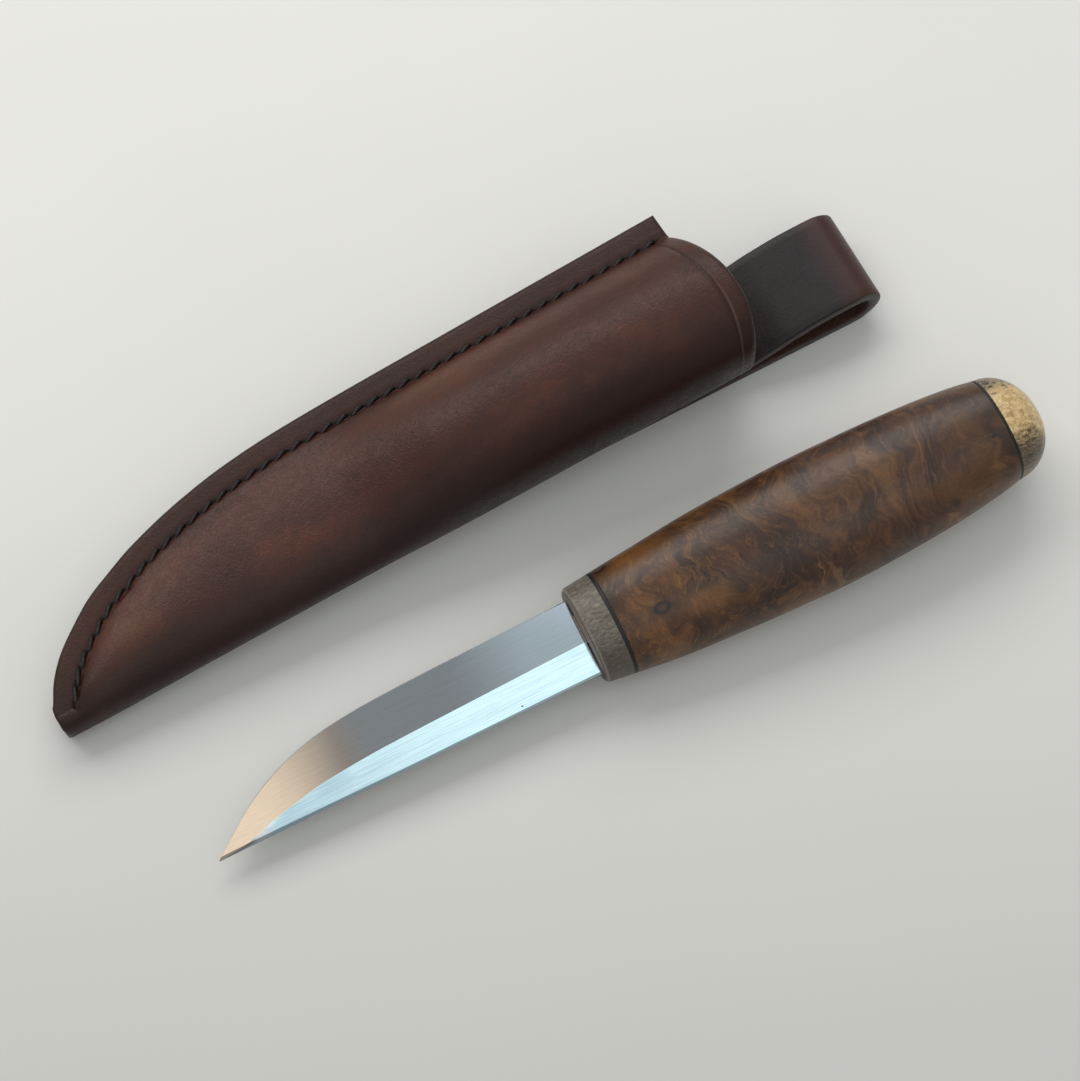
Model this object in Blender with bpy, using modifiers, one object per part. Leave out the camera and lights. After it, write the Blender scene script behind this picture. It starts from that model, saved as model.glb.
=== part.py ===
"""Whittling knife lying beside its wet-moulded leather sheath.

Shapes are worked out in millimetres and turned into metres when their meshes are made.

Sheath frame: +X runs along the fold from the sheath's tip to its mouth, +Y goes to the stitched
seam, and +Z goes up from the surface that everything lies on. The sheath's two layers meet at
the seam plane, which climbs from the tip to the mouth.

Knife frame: +X runs along the cutting edge from the point to the butt, +Y goes to the spine, and
+Z comes out of the blade's flat. The knife lies on the side of its handle.
"""
import math

import bmesh
import bpy
from mathutils import Vector

MM = 0.001
GAP = 0.3                       # clearance between touching pieces

# Where the whole object's box has its centre, in the sheath frame
CENTRE_X = 102.546
CENTRE_Y = -4.485

# Knife
BLADE_END = 86.7
BLADE_HALF = 1.5
SPINE = [(0.0, 0.3), (10.4, 7.9), (17.3, 11.5), (24.7, 14.0), (30.3, 15.2), (40.0, 16.2),
         (54.5, 16.7), (BLADE_END, 17.15)]
BEVEL = [(0.0, 0.15), (5.6, 0.55), (10.4, 1.75), (14.7, 2.9), (20.3, 4.05), (25.0, 4.9),
         (30.0, 5.4), (40.0, 6.05), (54.5, 6.45), (BLADE_END, 7.2)]
EDGE_HALF = 0.03                # half the width of the cutting edge itself
MICRO_BEVEL = 0.45              # height of the honed strip along the edge
MICRO_SLOPE = 0.29
BOLSTER = (87.0, 92.7)
FRONT_SPACER = (93.0, 93.8)
HANDLE = (94.1, 184.0)
REAR_SPACER = (184.3, 184.8)
BUTT_CAP = (185.1, 194.4)
GRIP_CENTRE = [(87.0, 8.9), (104.0, 8.7), (117.0, 8.9), (142.0, 9.0), (167.0, 9.35), (185.0, 9.7),
               (194.4, 9.3)]
GRIP_HALF_HEIGHT = [(87.0, 10.75), (93.0, 11.5), (104.0, 12.75), (117.0, 13.8), (129.0, 14.4),
                    (142.0, 14.75), (154.0, 14.5), (167.0, 13.85), (179.0, 12.6), (185.1, 11.5)]
GRIP_HALF_WIDTH = [(87.0, 8.5), (93.0, 8.8), (104.0, 9.4), (117.0, 9.9), (129.0, 10.3),
                   (142.0, 10.6), (154.0, 10.7), (167.0, 10.6), (179.0, 10.3), (185.1, 10.0)]
GRIP_ROUNDNESS = 2.2            # exponent of the oval; 2 is an ellipse
GRIP_SIDES = 36
TANG_END = 189.5
TANG_CENTRE = 10.2
TANG_HALF_HEIGHT = 3.3
TANG_HALF_WIDTH = 1.4
TANG_ROOT = 2.2                 # how far the tang's form reaches into the blade
BEDDING_WALL = 0.7
KNIFE_AT = (13.5, -38.2)        # the blade's point, in the sheath frame
KNIFE_YAW = math.radians(-2.0)
KNIFE_TILT = math.radians(2.3)  # how far the butt is raised

# Sheath
LEATHER = 2.5
WELT = 2.4
FLANGE_MID = WELT / 2 + GAP + LEATHER / 2
SEAM_PLANE_LOW = 5.5            # height of the seam plane at X = 0
SEAM_PLANE_SLOPE = 0.0793
FOLD_DRIFT = 0.9                # how far the fold has drifted towards the seam by the mouth
TIP_X = -1.2
MOUTH_X = 159.6
MOUTH_BULGE = 3.4               # how far the mouth's middle stands past its corners
MOUTH_BULGE_FROM = 122.0
TIP_BULGE = 1.0                 # the same at the tip
TIP_BULGE_TO = 8.0
EDGE_X = [(TIP_X, -2.2), (3.0, -0.2), (8.0, 3.5), (14.0, 8.4), (20.5, 14.5), (33.0, 26.8),
          (57.0, 51.3), (80.0, 76.0), (MOUTH_X, 157.2)]
EDGE_Y = [(TIP_X, 6.1), (3.0, 10.4), (8.0, 15.2), (14.0, 19.4), (20.5, 23.7), (26.0, 26.3),
          (33.0, 29.3), (45.0, 33.0), (57.0, 35.5), (68.0, 36.8), (80.0, 37.5), (110.0, 38.5),
          (MOUTH_X, 40.0)]
FRONT_HEIGHT = [(TIP_X, 4.0), (3.0, 4.2), (8.0, 5.2), (20.0, 6.0), (60.0, 6.3), (72.0, 6.9),
                (84.0, 10.3), (94.0, 13.4), (106.0, 15.0), (118.0, 15.8), (140.0, 15.5),
                (MOUTH_X, 14.4)]
BACK_HEIGHT = [(TIP_X, 4.0), (3.0, 4.2), (8.0, 5.7), (14.0, 6.45), (33.0, 6.4), (60.0, 6.1),
               (72.0, 6.5), (84.0, 9.0), (94.0, 10.2), (106.0, 10.4), (118.0, 10.2), (135.0, 11.2),
               (150.0, 11.9), (MOUTH_X, 11.9)]
CREST = [(TIP_X, 3.0), (3.0, 3.4), (8.0, 6.0), (20.0, 9.5), (60.0, 11.0), (95.0, 14.0), (MOUTH_X, 15.0)]
FOLD_ROUNDNESS = 2.4
SHOULDER_POWER = 0.65           # 0.5 would be an ellipse from the welt to the crest
FILLET = 1.3
WELT_WIDTH = 7.0
WELT_FROM_FOLD = 4.3            # the least distance from the welt to the fold
STITCH_INSET = [(TIP_X, 5.1), (MOUTH_X, 5.9)]      # from the seam's cut edge to the stitches
STITCH_PITCH = 3.75
THREAD_RADIUS = 0.42
STITCH_RISE = 0.2

# Belt loop
STRAP = (5.1, 26.9)             # the strap's two long edges, in Y
STRAP_START = 116.0
STRAP_FOLD_X = 189.0
STRAP_THICKNESS = [(STRAP_START, 1.8), (140.0, 1.95), (157.0, 2.4), (167.0, 3.0),
                   (STRAP_FOLD_X, 3.0)]
STRAP_UPPER = [(STRAP_START, 3.0), (140.0, 3.25), (150.0, 3.55), (157.0, 3.9), (162.0, 4.8),
               (167.0, 6.3), (174.0, 8.8), (182.0, 10.4), (STRAP_FOLD_X, 10.8)]
BURNISHED_EDGE = 0.5            # radius of the strap's rounded edges
LOOP_THREAD_BOX = (119.0, 130.0, 10.0, 18.5)   # the stitched ring's low and high X, then Y
LOOP_THREAD_RADIUS = 0.35

# Colours are linear RGB
STEEL = (0.55, 0.57, 0.60)
ANTLER = (0.30, 0.25, 0.17)
FIBRE = (0.01, 0.01, 0.01)
BURL = (0.15, 0.07, 0.03)
EPOXY = (0.25, 0.20, 0.12)
HIDE = (0.045, 0.022, 0.016)
WELT_HIDE = (0.06, 0.03, 0.02)
THREAD = (0.008, 0.007, 0.007)


# ---------------------------------------------------------------- curves and meshes

def smooth(knots, x):
    """The smooth curve through (x, height) knots, with no overshoot between them."""
    rises = [(b[1] - a[1]) / (b[0] - a[0]) for a, b in zip(knots, knots[1:])]
    middle = [2 * r * s / (r + s) if r * s > 0 else 0.0 for r, s in zip(rises, rises[1:])]
    tangents = [rises[0]] + middle + [rises[-1]]
    x = min(max(x, knots[0][0]), knots[-1][0])
    index = 0
    while index < len(knots) - 2 and x > knots[index + 1][0]:
        index += 1
    (x0, y0), (x1, y1) = knots[index], knots[index + 1]
    span = x1 - x0
    t = (x - x0) / span
    start = y0 * (1 + 2 * t) + tangents[index] * span * t
    end = y1 * (3 - 2 * t) + tangents[index + 1] * span * (t - 1)
    return start * (1 - t) ** 2 + end * t ** 2


def steps(low, high, count):
    """count + 1 evenly spaced values from low to high."""
    return [low + (high - low) * i / count for i in range(count + 1)]


def signed_power(value, power):
    return math.copysign(abs(value) ** power, value)


def add_object(name, mesh, material, parent, collection):
    obj = bpy.data.objects.new(name, mesh)
    obj.parent = parent
    mesh.materials.append(material)
    collection.objects.link(obj)
    return obj


def loft(name, rings, pole=None):
    """A closed mesh through rings of points, with flat ends, or one end drawn to a pole."""
    bm = bmesh.new()
    rows = [[bm.verts.new(Vector(point) * MM) for point in ring] for ring in rings]
    sides = len(rows[0])
    for low, high in zip(rows, rows[1:]):
        for i in range(sides):
            j = (i + 1) % sides
            bm.faces.new((low[i], low[j], high[j], high[i]))
    bm.faces.new(rows[0])
    if pole is None:
        bm.faces.new(rows[-1])
    else:
        top = bm.verts.new(Vector(pole) * MM)
        for i in range(sides):
            bm.faces.new((rows[-1][i], rows[-1][(i + 1) % sides], top))
    bmesh.ops.recalc_face_normals(bm, faces=bm.faces)
    mesh = bpy.data.meshes.new(name)
    bm.to_mesh(mesh)
    bm.free()
    mesh.shade_smooth()
    mesh.set_sharp_from_angle(angle=math.radians(35))
    return mesh


def box(name, low, high):
    """A box between two corners."""
    low, high = Vector(low) * MM, Vector(high) * MM
    bm = bmesh.new()
    bmesh.ops.create_cube(bm, size=1.0)
    bmesh.ops.scale(bm, vec=high - low, verts=bm.verts)
    bmesh.ops.translate(bm, vec=(low + high) / 2, verts=bm.verts)
    mesh = bpy.data.meshes.new(name)
    bm.to_mesh(mesh)
    bm.free()
    return mesh


def slab(name, outline, thickness, material, parent, collection):
    """A flat outline in the object's own XY plane, with its thickness shared to both sides."""
    curve = bpy.data.curves.new(name, "CURVE")
    curve.dimensions = "2D"
    curve.fill_mode = "BOTH"
    curve.extrude = thickness / 2 * MM
    spline = curve.splines.new("POLY")
    spline.points.add(len(outline) - 1)
    for target, (x, y) in zip(spline.points, outline):
        target.co = (x * MM, y * MM, 0.0, 1.0)
    spline.use_cyclic_u = True
    return add_object(name, curve, material, parent, collection)


def combine(obj, other, operation):
    """Cut other from obj, or join it to obj."""
    modifier = obj.modifiers.new(operation.lower(), "BOOLEAN")
    modifier.operation = operation
    modifier.solver = "EXACT"
    modifier.object = other


def strand(name, points, radius, cyclic, material, parent, collection):
    """A thread along points."""
    curve = bpy.data.curves.new(name, "CURVE")
    curve.dimensions = "3D"
    curve.bevel_depth = radius * MM
    curve.bevel_resolution = 1
    curve.use_fill_caps = True
    spline = curve.splines.new("POLY")
    spline.points.add(len(points) - 1)
    for target, point in zip(spline.points, points):
        target.co = (*(Vector(point) * MM), 1.0)
    spline.use_cyclic_u = cyclic
    return add_object(name, curve, material, parent, collection)


def material(name, colour, roughness, metallic=0.0):
    result = bpy.data.materials.new(name)
    result.use_nodes = True
    shader = result.node_tree.nodes["Principled BSDF"]
    shader.inputs["Base Color"].default_value = (*colour, 1.0)
    shader.inputs["Roughness"].default_value = roughness
    shader.inputs["Metallic"].default_value = metallic
    return result


# ---------------------------------------------------------------- knife

def blade_section(x):
    """One cross-section: edge, honed strip, bevel shoulder, flat, and a broken spine corner."""
    spine = smooth(SPINE, x)
    shoulder = smooth(BEVEL, x)
    half = BLADE_HALF * shoulder / BEVEL[-1][1]
    honed = min(MICRO_BEVEL, 0.4 * shoulder)
    honed_half = min(EDGE_HALF + honed * MICRO_SLOPE, 0.7 * half)
    edge_half = min(EDGE_HALF, 0.3 * half)
    corner = min(0.2, 0.3 * half)
    side = [(0.0, edge_half), (honed, honed_half), (shoulder, half),
            (max(spine - corner, shoulder + 0.05), half), (spine, half - corner)]
    other = [(y, -z) for y, z in reversed(side)]
    return [(x, y, z) for y, z in side + other]


def tang_box(name, wall, low, high, material, knife, collection):
    """A box round the tang from low to high, thicker than the tang by wall on each side."""
    half_height = TANG_HALF_HEIGHT + wall
    half_width = TANG_HALF_WIDTH + wall
    mesh = box(name, (low, TANG_CENTRE - half_height, -half_width),
               (high, TANG_CENTRE + half_height, half_width))
    return add_object(name, mesh, material, knife, collection)


def make_blade(parts, cutters, knife, steel):
    stations = steps(0.0, 44.0, 20) + steps(44.0, BLADE_END, 6)[1:]
    blade = add_object("blade", loft("blade", [blade_section(x) for x in stations]),
                       steel, knife, parts)
    tang = tang_box("tang_form", 0.0, BLADE_END - TANG_ROOT, TANG_END, steel, knife, cutters)
    combine(blade, tang, "UNION")


def oval(x, inset=0.0, scale=1.0):
    """The grip's cross-section at x, shrunk by inset and scaled."""
    centre = smooth(GRIP_CENTRE, x)
    height = smooth(GRIP_HALF_HEIGHT, x) * scale - inset
    width = smooth(GRIP_HALF_WIDTH, x) * scale - inset
    ring = []
    for i in range(GRIP_SIDES):
        angle = 2 * math.pi * i / GRIP_SIDES
        y = centre + height * signed_power(math.cos(angle), 2 / GRIP_ROUNDNESS)
        z = width * signed_power(math.sin(angle), 2 / GRIP_ROUNDNESS)
        ring.append((x, y, z))
    return ring


def dome_rings(low, high, count):
    """Rings of an elliptical dome that starts along the grip and closes at high."""
    rings = []
    for i in range(count):
        angle = math.pi / 2 * i / count
        x = low + (high - low) * math.sin(angle)
        rings.append(oval(x, scale=math.cos(angle)))
    return rings


def make_grip(parts, cutters, knife, materials):
    steel = materials["steel"]
    before_grip, after_handle = BOLSTER[0] - 5.0, HANDLE[1] + 5.0
    tang_slot = tang_box("tang_slot", GAP, before_grip, TANG_END + GAP, steel, knife, cutters)
    bed_slot = tang_box("bedding_slot", 2 * GAP + BEDDING_WALL, BOLSTER[0], after_handle, steel,
                        knife, cutters)
    low, high = BOLSTER
    chamfer = 0.5
    bolster_rings = [oval(low, chamfer), oval(low + chamfer)]
    bolster_rings += [oval(x) for x in steps(low + chamfer, high, 2)[1:]]
    shapes = {
        "bolster": (loft("bolster", bolster_rings), "antler"),
        "front_spacer": (loft("front_spacer", [oval(x) for x in FRONT_SPACER]), "fibre"),
        "rear_spacer": (loft("rear_spacer", [oval(x) for x in REAR_SPACER]), "fibre"),
        "butt_cap": (loft("butt_cap", dome_rings(*BUTT_CAP, 7),
                          pole=(BUTT_CAP[1], smooth(GRIP_CENTRE, BUTT_CAP[1]), 0.0)), "antler"),
    }
    for name, (mesh, slot) in shapes.items():
        piece = add_object(name, mesh, materials[slot], knife, parts)
        combine(piece, tang_slot, "DIFFERENCE")
    handle_mesh = loft("handle", [oval(x) for x in steps(*HANDLE, 18)])
    handle = add_object("handle", handle_mesh, materials["burl"], knife, parts)
    combine(handle, bed_slot, "DIFFERENCE")
    bedding = tang_box("tang_bedding", GAP + BEDDING_WALL, HANDLE[0] + GAP, HANDLE[1] - GAP,
                       materials["epoxy"], knife, parts)
    combine(bedding, tang_slot, "DIFFERENCE")


def knife_rest_height():
    """Height of the blade's point when the grip's side touches the surface."""
    return max(smooth(GRIP_HALF_WIDTH, x) * math.cos(KNIFE_TILT) - x * math.sin(KNIFE_TILT)
               for x in steps(BOLSTER[0], HANDLE[1], 60))


# ---------------------------------------------------------------- sheath

def seam_plane(x):
    return SEAM_PLANE_LOW + SEAM_PLANE_SLOPE * x


def fold_point(x):
    return Vector((x, FOLD_DRIFT * x / MOUTH_X))


def edge_point(x):
    """The point of the seam's cut edge that belongs to the fold's point at x."""
    return Vector((smooth(EDGE_X, x), smooth(EDGE_Y, x)))


def inset_along_section(x, distance):
    """How far to go in along the section at x to be the given distance from the cut edge."""
    tangent = edge_point(x + 0.5) - edge_point(x - 0.5)
    across = fold_point(x) - edge_point(x)
    turn = abs(tangent.normalized().cross(across.normalized()))
    return distance / max(turn, 0.3)


def soft_max(a, b, reach):
    """The larger of two heights, with a fillet where they cross."""
    overlap = max(reach - abs(a - b), 0.0) / reach
    return max(a, b) + overlap * overlap * reach / 4


class Section:
    """The leather's middle surface on the section through the fold's point at x."""

    def __init__(self, x):
        self.x = x
        self.fold = fold_point(x)
        self.edge = edge_point(x)
        self.length = (self.edge - self.fold).length
        self.crest = smooth(CREST, x)
        self.rim = max(self.length - inset_along_section(x, WELT_WIDTH), self.crest + 0.5)
        self.start = LEATHER / 2
        self.heights = {
            1: max(smooth(FRONT_HEIGHT, x) - LEATHER / 2, FLANGE_MID),
            -1: max(smooth(BACK_HEIGHT, x) - LEATHER / 2, FLANGE_MID),
        }

    def height(self, r, side):
        """Distance from the seam plane at r from the fold, on the front (1) or back (-1)."""
        top = self.heights[side]
        if r <= self.crest:
            share = min(max((self.crest - r) / (self.crest - self.start), 0.0), 1.0)
            return top * (1 - share ** FOLD_ROUNDNESS) ** (1 / FOLD_ROUNDNESS)
        if r >= self.rim:
            return soft_max(FLANGE_MID, FLANGE_MID + self.rim - r, FILLET)
        share = (r - self.crest) / (self.rim - self.crest)
        rise = (top - FLANGE_MID) * (1 - share * share) ** SHOULDER_POWER
        return soft_max(FLANGE_MID, FLANGE_MID + rise, FILLET)

    def point(self, r, height):
        """The point at r from the fold and at a height off the seam plane."""
        place = self.fold.lerp(self.edge, r / self.length)
        grown = max(self.x - MOUTH_BULGE_FROM, 0.0) / (MOUTH_X - MOUTH_BULGE_FROM)
        across = min(max(r / (self.length - WELT_WIDTH), 0.0), 1.0)
        x = place.x + MOUTH_BULGE * grown ** 2 * math.sin(math.pi * across ** 0.8)
        grown = max(TIP_BULGE_TO - self.x, 0.0) / (TIP_BULGE_TO - TIP_X)
        x -= TIP_BULGE * grown ** 2 * math.sin(math.pi * r / self.length)
        return Vector((x, place.y, seam_plane(x) + height))

    def row(self):
        """Points across the sheet: front edge, over the front, round the fold, back edge."""
        flange = [self.length, (self.length + self.rim + FILLET) / 2, self.rim + FILLET]
        body = [self.rim + FILLET * 0.4]
        body += [self.crest + (self.rim - self.crest) * math.cos(math.pi / 2 * i / 8)
                 for i in range(9)]
        turn = [self.crest - (self.crest - self.start) * math.sin(math.pi / 2 * i / 8)
                for i in range(1, 8)]
        half = flange + body + turn
        front = [self.point(r, self.height(r, 1)) for r in half]
        back = [self.point(r, -self.height(r, -1)) for r in reversed(half)]
        return front + [self.point(self.start, 0.0)] + back


def sheath_stations():
    return (steps(TIP_X, 8.0, 4) + steps(8.0, 60.0, 8)[1:] + steps(60.0, 108.0, 10)[1:]
            + steps(108.0, MOUTH_X, 7)[1:])


def make_sheath_leather(parts, root, hide):
    bm = bmesh.new()
    rows = [[bm.verts.new(point * MM) for point in Section(x).row()] for x in sheath_stations()]
    for low, high in zip(rows, rows[1:]):
        for i in range(len(low) - 1):
            bm.faces.new((low[i], low[i + 1], high[i + 1], high[i]))
    mesh = bpy.data.meshes.new("sheath_leather")
    bm.to_mesh(mesh)
    bm.free()
    mesh.shade_smooth()
    leather = add_object("sheath_leather", mesh, hide, root, parts)
    solidify = leather.modifiers.new("thickness", "SOLIDIFY")
    solidify.thickness = LEATHER * MM
    solidify.offset = 0.0
    solidify.use_even_offset = True


def make_welt(parts, root, hide):
    """The strip between the layers, from the mouth down to the tip."""
    slope = math.atan(SEAM_PLANE_SLOPE)
    outer, inner = [], []
    for x in sheath_stations():
        section = Section(x)
        inset = inset_along_section(x, WELT_WIDTH - GAP)
        outer.append(section.point(section.length, 0.0))
        inner.append(section.point(max(section.length - inset, WELT_FROM_FOLD), 0.0))
    outline = [(point.x / math.cos(slope), point.y) for point in outer + inner[::-1]]
    welt = slab("welt", outline, WELT, hide, root, parts)
    welt.location = (0.0, 0.0, SEAM_PLANE_LOW * MM)
    welt.rotation_euler = (0.0, -slope, 0.0)


def stitch_line(side):
    """Evenly pitched stitch holes and stitch middles on one side of the seam."""
    path = []
    clear = LEATHER / 2 + GAP + THREAD_RADIUS       # from the leather's middle surface
    for x in steps(1.2, MOUTH_X - 0.6, 300):
        section = Section(x)
        r = section.length - inset_along_section(x, smooth(STITCH_INSET, x))
        surface = max(section.height(r + shift, side) + math.sqrt(clear * clear - shift * shift)
                      for shift in steps(-clear, clear, 12))
        path.append(section.point(r, side * surface))
    points, travelled = [path[0]], 0.0
    for previous, current in zip(path, path[1:]):
        travelled += (current - previous).length
        if travelled >= len(points) * STITCH_PITCH / 2:
            rise = STITCH_RISE if len(points) % 2 else 0.0
            points.append(current + Vector((0, 0, side * rise)))
    return points


def make_seam_threads(parts, root, thread):
    strand("seam_thread_front", stitch_line(1), THREAD_RADIUS, False, thread, root, parts)
    strand("seam_thread_back", stitch_line(-1), THREAD_RADIUS, False, thread, root, parts)


def strap_outline():
    """The strap's side view: under layer, round the fold, upper layer, and back."""
    middle = []
    for x in steps(STRAP_START, STRAP_FOLD_X, 12):
        thickness = smooth(STRAP_THICKNESS, x)
        middle.append((x, thickness / 2, thickness))
    thickness = STRAP_THICKNESS[-1][1]
    low, high = thickness / 2, STRAP_UPPER[-1][1]
    radius = (high - low) / 2
    for i in range(1, 10):
        angle = math.pi * i / 10
        middle.append((STRAP_FOLD_X + radius * math.sin(angle),
                       low + radius - radius * math.cos(angle), thickness))
    for x in reversed(steps(STRAP_START, STRAP_FOLD_X, 18)):
        middle.append((x, smooth(STRAP_UPPER, x), smooth(STRAP_THICKNESS, x)))
    outer, inner = [], []
    for i, (x, z, thickness) in enumerate(middle):
        before = middle[max(i - 1, 0)]
        after = middle[min(i + 1, len(middle) - 1)]
        along = Vector((after[0] - before[0], after[1] - before[1])).normalized()
        normal = Vector((along.y, -along.x)) * thickness / 2
        outer.append((x + normal.x, z + normal.y))
        inner.append((x - normal.x, z - normal.y))
    return outer + inner[::-1]


def make_belt_loop(parts, root, hide):
    loop = slab("belt_loop", strap_outline(), STRAP[1] - STRAP[0], hide, root, parts)
    loop.location = (0.0, (STRAP[0] + STRAP[1]) / 2 * MM, 0.0)
    loop.rotation_euler = (math.radians(90), 0.0, 0.0)
    loop.data.bevel_depth = BURNISHED_EDGE * MM
    loop.data.bevel_resolution = 1
    loop.data.offset = -BURNISHED_EDGE * MM
    loop.data.extrude -= BURNISHED_EDGE * MM


def make_loop_thread(parts, root, thread):
    """A ring of stitching on the inside of the back, over the strap's two ends."""
    x0, x1, r0, r1 = LOOP_THREAD_BOX
    corners = [(x0, r0), (x1, r0), (x1, r1), (x0, r1)]
    points = []
    for (xa, ra), (xb, rb) in zip(corners, corners[1:] + corners[:1]):
        for share in steps(0.0, 1.0, 4)[:-1]:
            section = Section(xa + (xb - xa) * share)
            r = ra + (rb - ra) * share
            inner = section.height(r, -1) - LEATHER / 2 - GAP - LOOP_THREAD_RADIUS - 0.15
            points.append(section.point(r, -inner))
    strand("loop_thread", points, LOOP_THREAD_RADIUS, True, thread, root, parts)


# ---------------------------------------------------------------- assembly

def new_collection(name):
    collection = bpy.data.collections.new(name)
    bpy.context.scene.collection.children.link(collection)
    return collection


def main():
    for obj in list(bpy.data.objects):
        bpy.data.objects.remove(obj)
    parts = new_collection("whittling_knife")
    cutters = new_collection("cutters")
    materials = {
        "steel": material("steel", STEEL, 0.25, metallic=1.0),
        "antler": material("antler", ANTLER, 0.45),
        "fibre": material("fibre", FIBRE, 0.5),
        "burl": material("burl", BURL, 0.35),
        "epoxy": material("epoxy", EPOXY, 0.4),
        "hide": material("hide", HIDE, 0.5),
        "welt_hide": material("welt_hide", WELT_HIDE, 0.6),
        "thread": material("thread", THREAD, 0.6),
    }

    root = bpy.data.objects.new("sheath_frame", None)
    root.location = Vector((-CENTRE_X, -CENTRE_Y, 0.0)) * MM
    parts.objects.link(root)
    make_sheath_leather(parts, root, materials["hide"])
    make_welt(parts, root, materials["welt_hide"])
    make_seam_threads(parts, root, materials["thread"])
    make_belt_loop(parts, root, materials["hide"])
    make_loop_thread(parts, root, materials["thread"])

    knife = bpy.data.objects.new("knife_frame", None)
    knife.parent = root
    knife.location = Vector((*KNIFE_AT, knife_rest_height())) * MM
    knife.rotation_euler = (0.0, -KNIFE_TILT, KNIFE_YAW)
    parts.objects.link(knife)
    make_blade(parts, cutters, knife, materials["steel"])
    make_grip(parts, cutters, knife, materials)

    for cutter in cutters.objects:
        cutter.hide_render = True
        cutter.display_type = "WIRE"


main()
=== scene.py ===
import math

import bmesh
import bpy
from mathutils import Matrix, Vector, noise


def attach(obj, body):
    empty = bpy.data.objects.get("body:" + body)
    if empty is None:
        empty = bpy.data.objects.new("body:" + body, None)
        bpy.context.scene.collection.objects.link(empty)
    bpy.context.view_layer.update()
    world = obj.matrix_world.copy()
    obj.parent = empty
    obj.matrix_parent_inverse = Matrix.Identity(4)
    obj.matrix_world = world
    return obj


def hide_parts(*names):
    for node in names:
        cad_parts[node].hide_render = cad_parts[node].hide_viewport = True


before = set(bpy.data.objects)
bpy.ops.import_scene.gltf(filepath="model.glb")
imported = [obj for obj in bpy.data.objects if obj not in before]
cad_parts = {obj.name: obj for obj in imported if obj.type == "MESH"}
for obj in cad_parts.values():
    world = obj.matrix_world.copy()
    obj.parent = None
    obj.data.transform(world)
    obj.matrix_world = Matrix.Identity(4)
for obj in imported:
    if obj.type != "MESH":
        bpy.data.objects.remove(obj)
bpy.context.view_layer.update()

MM = 0.001

# ---------------------------------------------------------------- sizes, as in the CAD model

CENTRE = Vector((102.546, -4.485, 0.0))
BLADE_END = 86.7
SPINE = [(0.0, 0.3), (10.4, 7.9), (17.3, 11.5), (24.7, 14.0), (30.3, 15.2), (40.0, 16.2),
         (54.5, 16.7), (BLADE_END, 17.15)]
BEVEL = [(0.0, 0.15), (5.6, 0.55), (10.4, 1.75), (14.7, 2.9), (20.3, 4.05), (25.0, 4.9),
         (30.0, 5.4), (40.0, 6.05), (54.5, 6.45), (BLADE_END, 7.2)]
BLADE_HALF = 1.5
DISTAL_TAPER = 0.0047           # half thickness lost per millimetre from the heel
TIP_TAPER = (32.0, 0.00415, 1.6)        # start, amount and power of the further thinning to the point
EDGE_HALF = 0.03
MICRO_BEVEL = 0.45
MICRO_SLOPE = 0.29
BOLSTER = (87.0, 93.0)
FRONT_SPACER = (93.0, 93.8)
HANDLE = (93.8, 184.3)
REAR_SPACER = (184.3, 184.9)
BUTT_CAP = (184.9, 194.37)
GRIP_CENTRE = [(87.0, 8.9), (104.0, 8.7), (117.0, 8.9), (142.0, 9.0), (167.0, 9.35), (185.0, 9.7),
               (194.4, 9.3)]
GRIP_HALF_HEIGHT = [(87.0, 10.75), (93.0, 11.5), (104.0, 12.75), (117.0, 13.8), (129.0, 14.4),
                    (142.0, 14.75), (154.0, 14.5), (167.0, 13.85), (179.0, 12.6), (185.1, 11.5)]
GRIP_HALF_WIDTH = [(87.0, 8.5), (93.0, 8.8), (104.0, 9.4), (117.0, 9.9), (129.0, 10.3),
                   (142.0, 10.6), (154.0, 10.7), (167.0, 10.6), (179.0, 10.3), (185.1, 10.0)]
GRIP_ROUNDNESS = 2.2
GRIP_SIDES = 128
TANG_END = 189.5
TANG_CENTRE = 10.2
TANG_HALF_HEIGHT = 3.3
TANG_HALF_WIDTH = 1.4
BEDDING_WALL = 0.7
GAP = 0.3
KNIFE_AT = (13.5, -38.2)
KNIFE_YAW = math.radians(-2.0)
KNIFE_TILT = math.radians(2.3)

LEATHER = 2.5
WELT = 2.4
FLANGE_MID = WELT / 2 + LEATHER / 2 + 0.05
SEAM_PLANE_LOW = 5.5
SEAM_PLANE_SLOPE = 0.0793
FOLD_DRIFT = 0.9
TIP_X = -1.2
MOUTH_X = 159.6
MOUTH_BULGE = 3.4
MOUTH_BULGE_FROM = 122.0
TIP_BULGE = 0.96
TIP_BULGE_TO = 8.0
EDGE_X = [(TIP_X, -2.2), (3.0, -0.2), (8.0, 3.5), (14.0, 8.4), (20.5, 14.5), (33.0, 26.8),
          (57.0, 51.3), (80.0, 76.0), (MOUTH_X, 157.2)]
EDGE_Y = [(TIP_X, 6.1), (3.0, 10.4), (8.0, 15.2), (14.0, 19.4), (20.5, 23.7), (26.0, 26.3),
          (33.0, 29.3), (45.0, 33.0), (57.0, 35.5), (68.0, 36.8), (80.0, 37.5), (110.0, 38.5),
          (MOUTH_X, 40.0)]
FRONT_HEIGHT = [(TIP_X, 4.0), (3.0, 4.2), (8.0, 5.2), (20.0, 6.0), (60.0, 6.3), (72.0, 6.9),
                (84.0, 10.3), (94.0, 13.4), (106.0, 15.0), (118.0, 15.8), (140.0, 15.5),
                (MOUTH_X, 14.4)]
BACK_HEIGHT = [(TIP_X, 4.0), (3.0, 4.2), (8.0, 5.7), (14.0, 6.45), (33.0, 6.4), (60.0, 6.1),
               (72.0, 6.5), (84.0, 9.0), (94.0, 10.2), (106.0, 10.4), (118.0, 10.2), (135.0, 11.2),
               (150.0, 11.9), (MOUTH_X, 11.9)]
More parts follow.
